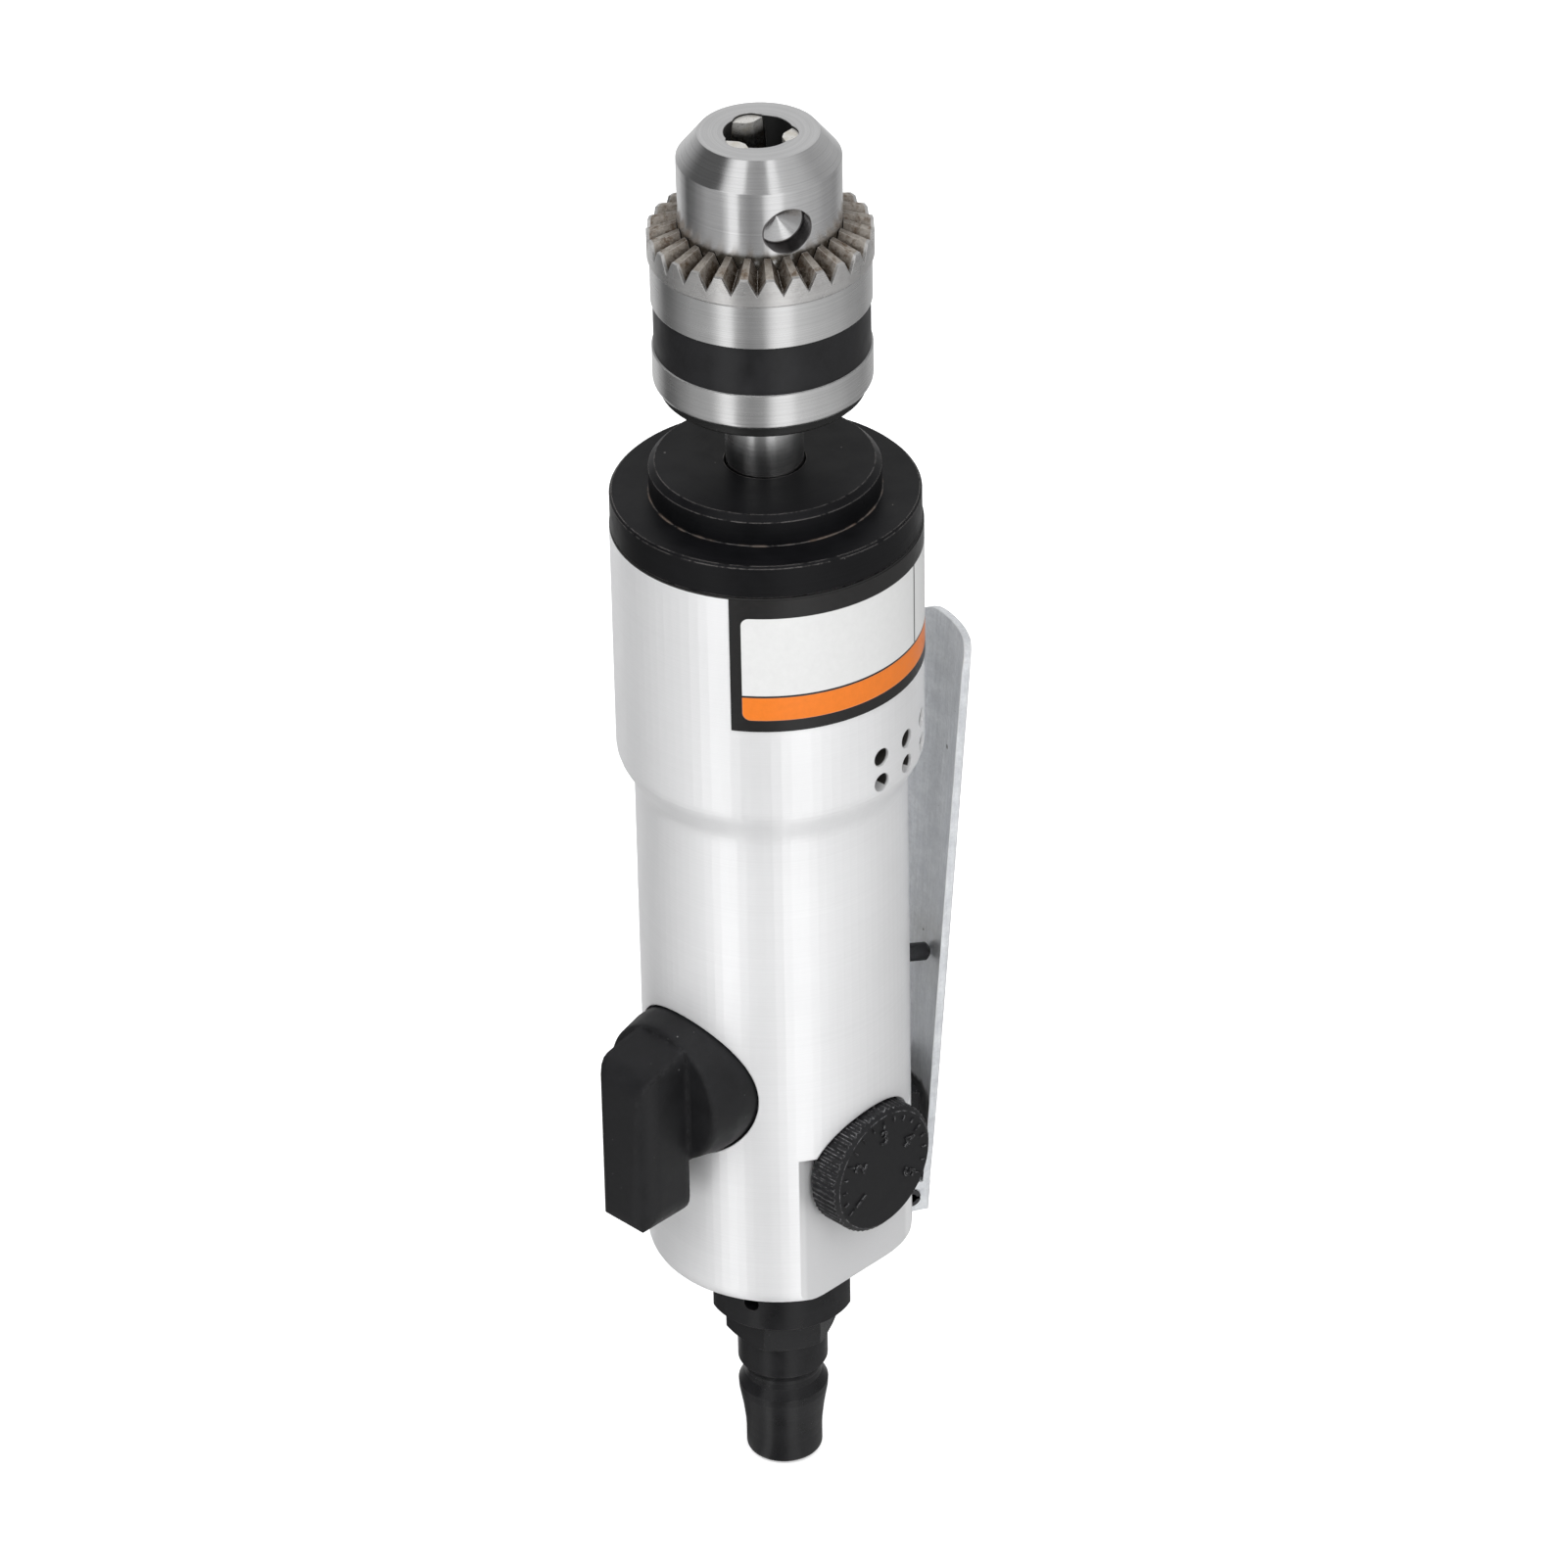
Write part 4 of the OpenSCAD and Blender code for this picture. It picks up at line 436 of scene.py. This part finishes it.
def lever_metal():
    s = Shader("lever_steel")
    patch = s.noise(3.2, detail=4.0, roughness=0.62)
    fine = s.noise(0.5, detail=3.0, roughness=0.7)
    draw = s.noise(1.0, s.join(s.math("MULTIPLY", s.x, 2.5), s.math("MULTIPLY", s.y, 2.5),
                               s.math("MULTIPLY", s.z, 0.08)), detail=3.0)
    base = s.mix(s.ramp(patch, 0.30, 0.70), (0.73, 0.75, 0.78), (0.88, 0.90, 0.92))
    base = s.tint(s.tint(base, fine, 0.08), draw, 0.08)
    dark = s.math("MAXIMUM", s.specks(2.2, 0.22, 0.16), s.specks(4.5, 0.42, 0.14))
    base = s.mix(s.math("MULTIPLY", dark, 0.7), base, (0.12, 0.11, 0.10))
    edge = s.edges(0.3, 0.02, 0.2)
    base = s.mix(s.math("MULTIPLY", edge, 0.8), base, (0.90, 0.90, 0.91))
    # Painted shade on the inner face, below the throttle stem, where the lever closes in on the housing
    azimuth = math.radians(LEVER_AZIMUTH)
    facing = s.add("ShaderNodeNewGeometry").outputs["Normal"]
    looks_in = s.ramp(s.dot(facing, (math.sin(azimuth), -math.cos(azimuth), 0.0)), -0.75, -0.65, 1.0, 0.0)
    edge_z = s.math("ADD", s.z, s.math("MULTIPLY", s.noise(1.6, detail=3.0), 1.6))
    stain_and_painted_shade = s.math("MULTIPLY", s.band(edge_z, LEVER_SHADE_LOW, LEVER_SHADE_HIGH, 0.6), looks_in)
    # The mask here is painted shade, not a real stain
    s.set("Base Color", s.mix(stain_and_painted_shade, base, (0.035, 0.035, 0.042)))
    s.set("Metallic", s.lerp(stain_and_painted_shade, 0.6, 0.9))
    s.set("Roughness", s.ramp(patch, 0.3, 0.7, 0.34, 0.50))
    s.set("Normal", s.bump(s.math("ADD", patch, s.math("MULTIPLY", fine, 0.4)), 0.02, s.soft_normal))
    cover(s.mat, "lever")


def plain_metal(name, color, rough, names, metallic=1.0, grain=0.6):
    """Pieces that stand in the dark or inside: grain, patches and lighter edges."""
    s = Shader(name)
    patch = s.noise(grain * 4, detail=3.0)
    fine = s.noise(grain * 0.5, detail=2.0)
    edge = s.edges(0.12)
    base = s.tint(s.tint(color, patch, 0.10), fine, 0.08)
    lighter = [min(1.0, c * 1.6 + 0.05) for c in color]
    s.set("Base Color", s.mix(s.math("MULTIPLY", edge, 0.35), base, lighter))
    s.set("Metallic", metallic)
    s.set("Roughness", s.ramp(patch, 0.3, 0.7, rough - 0.06, rough + 0.08))
    s.set("Normal", s.bump(fine, 0.006, s.soft_normal))
    cover(s.mat, *names)


# ---------------------------------------------------------------- plastics, rubber, print

def knob_plastic(name, node, grip):
    """Black moulded plastic with fine grain, dust and rubbed edges."""
    s = Shader(name)
    grain = s.noise(0.16, detail=2.0, roughness=0.6)
    cloud = s.noise(3.5, detail=4.0, roughness=0.6)
    edge = s.edges(0.22, 0.008, 0.07) if grip else s.edges(1.3, 0.02, 0.25)
    base = s.tint(s.tint((0.0085, 0.0085, 0.0095), cloud, 0.30), grain, 0.20)
    dust = s.math("MAXIMUM", s.specks(1.1, 0.07, 0.20), s.specks(2.6, 0.13, 0.10))
    base = s.mix(s.math("MULTIPLY", dust, 0.5), base, (0.26, 0.26, 0.26))
    rub = s.math("MULTIPLY", edge, s.ramp(s.noise(0.9, detail=4.0, roughness=0.75), 0.42, 0.66))
    base = s.mix(s.math("MULTIPLY", rub, 0.7 if grip else 0.06), base, (0.34, 0.34, 0.35))
    s.set("Base Color", base)
    s.set("Roughness", s.ramp(cloud, 0.3, 0.7, 0.44, 0.58))
    s.set("Specular IOR Level", 0.34)
    s.set("Normal", s.bump(grain, 0.014, s.soft_normal))
    cover(s.mat, node)
    return s


def seal_rubber():
    s = Shader("seal_rubber")
    grain = s.noise(0.25, detail=2.0)
    cloud = s.noise(2.0, detail=3.0)
    s.set("Base Color", s.tint(s.tint((0.016, 0.016, 0.016), cloud, 0.3), grain, 0.2))
    s.set("Roughness", s.ramp(cloud, 0.3, 0.7, 0.55, 0.72))
    s.set("Normal", s.bump(grain, 0.01))
    cover(s.mat, "spindle_seal", "throttle_seal", "reversing_seals", "speed_seal", "inlet_seal")


def label_print():
    """Blank generic plate: white panel, orange band, black frame and one black divider."""
    s = Shader("label_film")
    # Length along the label from its left edge, and height above its lower edge, in millimetres
    angle = s.math("ARCTAN2", s.x, s.math("MULTIPLY", s.y, -1.0))
    along = s.math("MULTIPLY", s.math("ADD", angle, math.radians(-LABEL_START)), LABEL_R)
    up = s.math("SUBTRACT", s.z, LABEL_LOW)

    def rounded(left, right, low, high, radius):
        """1 inside a rounded rectangle on the film."""
        def beyond(value, start, end):
            """How far value lies outside the straight part of one side."""
            off = s.math("ABSOLUTE", s.math("SUBTRACT", value, (start + end) / 2))
            return s.math("MAXIMUM", s.math("SUBTRACT", off, (end - start) / 2 - radius), 0.0)

        da, du = beyond(along, left, right), beyond(up, low, high)
        gap = s.math("SQRT", s.math("ADD", s.math("MULTIPLY", da, da), s.math("MULTIPLY", du, du)))
        return s.ramp(gap, radius - 0.04, radius + 0.04, 1.0, 0.0)

    panel = rounded(1.5, 39.2, 1.7, 16.8, 1.1)
    divider = s.math("MULTIPLY", s.band(along, 28.65, 28.95, 0.03), s.ramp(up, 5.2, 5.25))
    line = s.math("MAXIMUM", divider, s.band(up, 5.05, 5.35, 0.03))
    panel = s.math("MULTIPLY", panel, s.math("SUBTRACT", 1.0, line))
    stripe = s.math("MULTIPLY", panel, s.ramp(up, 5.15, 5.2, 1.0, 0.0))
    fleck = s.noise(0.9, detail=4.0, roughness=0.7)
    white = s.tint((0.62, 0.62, 0.615), fleck, 0.03)
    orange = s.tint((0.70, 0.165, 0.006), fleck, 0.06)
    black = s.tint((0.010, 0.0095, 0.0095), fleck, 0.2)
    color = s.mix(panel, black, white)
    color = s.mix(stripe, color, orange)
    dirt = s.math("MULTIPLY", s.specks(3.5, 0.13, 0.15), 0.5)
    s.set("Base Color", s.mix(dirt, color, (0.08, 0.07, 0.06)))
    s.set("Roughness", s.ramp(fleck, 0.3, 0.7, 0.30, 0.40))
    s.set("Specular IOR Level", 0.38)
    s.set("Coat Weight", 0.08)
    s.set("Coat Roughness", 0.12)
    s.set("Normal", s.bump(s.noise(2.5, detail=2.0), 0.010))
    cover(s.mat, "label")


housing_metal()
sleeve_metal()
nose_metal()
spindle_metal()
jaw_metal()
cap_metal()
plug_metal()
lever_metal()
knob_plastic("reversing_plastic", "reversing_knob", False)
dial = knob_plastic("speed_plastic", "speed_knob", True)
seal_rubber()
label_print()
plain_metal("dark_steel", (0.10, 0.10, 0.105), 0.34,
            ["spindle_circlip", "bearing_circlip", "cylinder_pin", "lever_pin", "throttle_stem",
             "reversing_stop_pin", "speed_stop_pin"])
plain_metal("bearing_steel", (0.66, 0.66, 0.67), 0.18,
            ["spindle_bearing_front_outer", "spindle_bearing_front_inner", "spindle_bearing_rear_outer",
             "spindle_bearing_rear_inner", "rotor_bearing_front_outer", "rotor_bearing_front_inner",
             "rotor_bearing_rear_outer", "rotor_bearing_rear_inner", "throttle_ball", "throttle_spring"])
plain_metal("gear_steel", (0.38, 0.37, 0.36), 0.36,
            ["planet_gear_1", "planet_gear_2", "planet_gear_3", "ring_gear", "chuck_nut", "rotor"])
plain_metal("motor_iron", (0.27, 0.265, 0.26), 0.46, ["front_end_plate", "rear_end_plate", "motor_cylinder"])
plain_metal("washer_bronze", (0.50, 0.33, 0.15), 0.36, ["gear_washer"])
plain_metal("valve_brass", (0.62, 0.46, 0.20), 0.30, ["throttle_bushing", "reversing_valve", "speed_valve"])
plain_metal("blade_resin", (0.22, 0.11, 0.045), 0.6, ["rotor_blades"], metallic=0.0, grain=0.4)
plain_metal("screen_metal", (0.55, 0.55, 0.53), 0.34, ["inlet_screen"])


# ---------------------------------------------------------------- dial of the speed knob

def dial_marks():
    """Raised figures and graduation marks on the face of the speed knob."""
    azimuth = math.radians(DIAL_AZIMUTH)
    outward = Vector((math.sin(azimuth), -math.cos(azimuth), 0))
    low, high = (Vector(corner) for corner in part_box("speed_knob"))
    middle = (low + high) / 2
    radius = (high.z - low.z) / 2
    # The widest ring of the knob lies a rim's width behind its face, and the box reaches just that ring
    rim = 0.7 * MM
    face = (high.x - radius * math.cos(azimuth)) / math.sin(azimuth) + rim
    frame_on_face = radial_frame(DIAL_AZIMUTH, middle.z * 1000) @ Matrix.Translation((0, 0, face))
    relief = 0.12 * MM
    for index, figure in enumerate("12345"):
        around = math.radians(120 - 60 * index)
        curve = bpy.data.curves.new("dial_figure_" + figure, "FONT")
        curve.body = figure
        curve.size = 3.0 * MM
        curve.extrude = relief
        curve.bevel_depth = 0.04 * MM
        curve.align_x = "CENTER"
        curve.align_y = "CENTER"
        piece = bpy.data.objects.new("dial_figure_" + figure, curve)
        spot = Matrix.Translation((-math.sin(around) * 0.56 * radius, math.cos(around) * 0.56 * radius, 0))
        piece.matrix_world = frame_on_face @ spot @ Matrix.Rotation(around, 4, "Z")
        curve.materials.append(dial.mat)
        scene.collection.objects.link(piece)
        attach(piece, "speed_knob")
    # Tapered graduation marks near the rim, longer at the figures
    mesh = bpy.data.meshes.new("dial_marks")
    shape = bmesh.new()
    for index in range(17):
        turn_by = Matrix.Rotation(math.radians(120 - 15 * index), 4, "Z")
        inner = (0.72 if index % 4 == 0 else 0.78) * radius
        outer, half = 0.86 * radius, 0.16 * MM
        corners = [(-half, inner), (half, inner), (half * 0.7, outer), (-half * 0.7, outer)]
        base = [shape.verts.new(turn_by @ Vector((x, y, -relief))) for x, y in corners]
        top = [shape.verts.new(turn_by @ Vector((x * 0.6, y, relief))) for x, y in corners]
        shape.faces.new(top)
        for i in range(4):
            shape.faces.new((base[i], base[(i + 1) % 4], top[(i + 1) % 4], top[i]))
    shape.to_mesh(mesh)
    shape.free()
    mesh.materials.append(dial.mat)
    marks = bpy.data.objects.new("dial_marks", mesh)
    marks.matrix_world = frame_on_face
    scene.collection.objects.link(marks)
    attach(marks, "speed_knob")


dial_marks()


# ---------------------------------------------------------------- floor, world, lamps

# Brightness of the floor that metal and gloss reflect, by azimuth from the camera's side towards +X
REFLECTED = [
    (-180, 0.66), (-145, 0.60), (-130, 0.33), (-118, 0.11), (-105, 0.15), (-92, 0.25), (-75, 0.38),
    (-55, 0.41), (-46, 0.68), (-42, 1.0), (-32, 1.0), (-27, 0.40), (-14, 0.28), (0, 0.34),
    (10, 0.85), (14, 1.0), (27, 1.0), (36, 0.66), (62, 0.52), (80, 0.45), (105, 0.33), (125, 0.28),
    (145, 0.42), (180, 0.66)
]

# The same for the world above the floor, which slopes and chamfers mirror
REFLECTED_ABOVE = [
    (-180, 0.60), (-140, 0.40), (-105, 0.10), (-66, 0.10), (-54, 0.80), (-48, 1.0), (-28, 1.0),
    (-21, 0.38), (0, 0.34), (13, 0.38), (18, 1.0), (29, 1.0), (36, 0.62), (60, 0.55), (100, 0.36),
    (140, 0.42), (180, 0.60)
]


def by_azimuth(tree, source, levels):
    """Level at the azimuth of a position or direction."""
    split = tree.nodes.new("ShaderNodeSeparateXYZ")
    angle = tree.nodes.new("ShaderNodeMath")
    angle.operation = "ARCTAN2"
    flip = tree.nodes.new("ShaderNodeMath")
    flip.operation = "MULTIPLY"
    flip.inputs[1].default_value = -1.0
    spread = tree.nodes.new("ShaderNodeMapRange")
    spread.inputs["From Min"].default_value = -math.pi
    spread.inputs["From Max"].default_value = math.pi
    curve = tree.nodes.new("ShaderNodeValToRGB")
    tree.links.new(source, split.inputs[0])
    tree.links.new(split.outputs[1], flip.inputs[0])
    tree.links.new(split.outputs[0], angle.inputs[0])
    tree.links.new(flip.outputs[0], angle.inputs[1])
    tree.links.new(angle.outputs[0], spread.inputs["Value"])
    tree.links.new(spread.outputs[0], curve.inputs["Fac"])
    ramp = curve.color_ramp
    ramp.interpolation = "EASE"
    while len(ramp.elements) > 1:
        ramp.elements.remove(ramp.elements[-1])
    for index, (degrees, level) in enumerate(levels):
        spot = ramp.elements.new((degrees + 180.0) / 360.0) if index else ramp.elements[0]
        spot.color = (level, level, level, 1)
    return curve.outputs["Color"]


def mirrored(tree):
    """1 for rays that come from metal or glass."""
    path = tree.nodes.new("ShaderNodeLightPath")
    either = tree.nodes.new("ShaderNodeMath")
    either.operation = "MAXIMUM"
    tree.links.new(path.outputs["Is Glossy Ray"], either.inputs[0])
    tree.links.new(path.outputs["Is Transmission Ray"], either.inputs[1])
    return path, either.outputs[0]


def studio_world():
    world = bpy.data.worlds.new("studio")
    scene.world = world
    world.use_nodes = True
    tree = world.node_tree
    tree.nodes.clear()
    out = tree.nodes.new("ShaderNodeOutputWorld")
    seen = tree.nodes.new("ShaderNodeBackground")
    seen.inputs["Color"].default_value = (1, 1, 1, 1)
    seen.inputs["Strength"].default_value = 1.0
    light = tree.nodes.new("ShaderNodeBackground")
    light.inputs["Color"].default_value = (0.98, 0.99, 1.0, 1)
    light.inputs["Strength"].default_value = 0.5
    metal = tree.nodes.new("ShaderNodeBackground")
    metal.inputs["Color"].default_value = (1, 1, 1, 1)
    coords = tree.nodes.new("ShaderNodeTexCoord")
    links = tree.links
    links.new(by_azimuth(tree, coords.outputs["Generated"], REFLECTED_ABOVE), metal.inputs["Strength"])
    path, glossy = mirrored(tree)
    first_mix = tree.nodes.new("ShaderNodeMixShader")
    second_mix = tree.nodes.new("ShaderNodeMixShader")
    links.new(glossy, first_mix.inputs[0])
    links.new(light.outputs[0], first_mix.inputs[1])
    links.new(metal.outputs[0], first_mix.inputs[2])
    links.new(path.outputs["Is Camera Ray"], second_mix.inputs[0])
    links.new(first_mix.outputs[0], second_mix.inputs[1])
    links.new(seen.outputs[0], second_mix.inputs[2])
    links.new(second_mix.outputs[0], out.inputs[0])


def floor():
    bpy.ops.mesh.primitive_plane_add(size=6.0, location=(0, 0, -0.0004))
    plane = bpy.context.object
    plane.name = "floor"
    mat = bpy.data.materials.new("floor_pale")
    mat.use_nodes = True
    tree = mat.node_tree
    tree.nodes.clear()
    out = tree.nodes.new("ShaderNodeOutputMaterial")
    matt = tree.nodes.new("ShaderNodeBsdfDiffuse")
    matt.inputs["Color"].default_value = (0.86, 0.86, 0.86, 1)
    glow = tree.nodes.new("ShaderNodeEmission")
    shine = tree.nodes.new("ShaderNodeEmission")
    path, glossy = mirrored(tree)
    gain = tree.nodes.new("ShaderNodeMath")
    gain.operation = "MULTIPLY"
    gain.inputs[1].default_value = 0.46
    both = tree.nodes.new("ShaderNodeAddShader")
    mix = tree.nodes.new("ShaderNodeMixShader")
    coords = tree.nodes.new("ShaderNodeTexCoord")
    tree.links.new(path.outputs["Is Camera Ray"], gain.inputs[0])
    tree.links.new(gain.outputs[0], glow.inputs["Strength"])
    tree.links.new(matt.outputs[0], both.inputs[0])
    tree.links.new(glow.outputs[0], both.inputs[1])
    tree.links.new(by_azimuth(tree, coords.outputs["Object"], REFLECTED), shine.inputs["Strength"])
    tree.links.new(glossy, mix.inputs[0])
    tree.links.new(both.outputs[0], mix.inputs[1])
    tree.links.new(shine.outputs[0], mix.inputs[2])
    tree.links.new(mix.outputs[0], out.inputs[0])
    plane.data.materials.append(mat)


def softbox(name, azimuth, elevation, distance, width, height, power):
    """An area lamp that looks at the middle of the tool."""
    data = bpy.data.lights.new(name, "AREA")
    data.shape = "RECTANGLE"
    data.size = width
    data.size_y = height
    data.energy = power
    lamp = bpy.data.objects.new(name, data)
    a, e = math.radians(azimuth), math.radians(elevation)
    target = Vector((0, 0, 0.10))
    place = target + distance * Vector((math.sin(a) * math.cos(e), -math.cos(a) * math.cos(e), math.sin(e)))
    aim = (target - place).to_track_quat("-Z", "Y").to_matrix().to_4x4()
    lamp.matrix_world = Matrix.Translation(place) @ aim
    # The lamps light matt surfaces; what metal mirrors is the backdrop
    lamp.visible_glossy = False
    scene.collection.objects.link(lamp)


studio_world()
floor()
softbox("left_box", -46, 50, 1.3, 0.6, 0.9, 8.0)
softbox("right_box", 24, 45, 1.3, 0.6, 0.9, 9.0)
softbox("top_box", 10, 80, 1.2, 0.9, 0.7, 4.5)
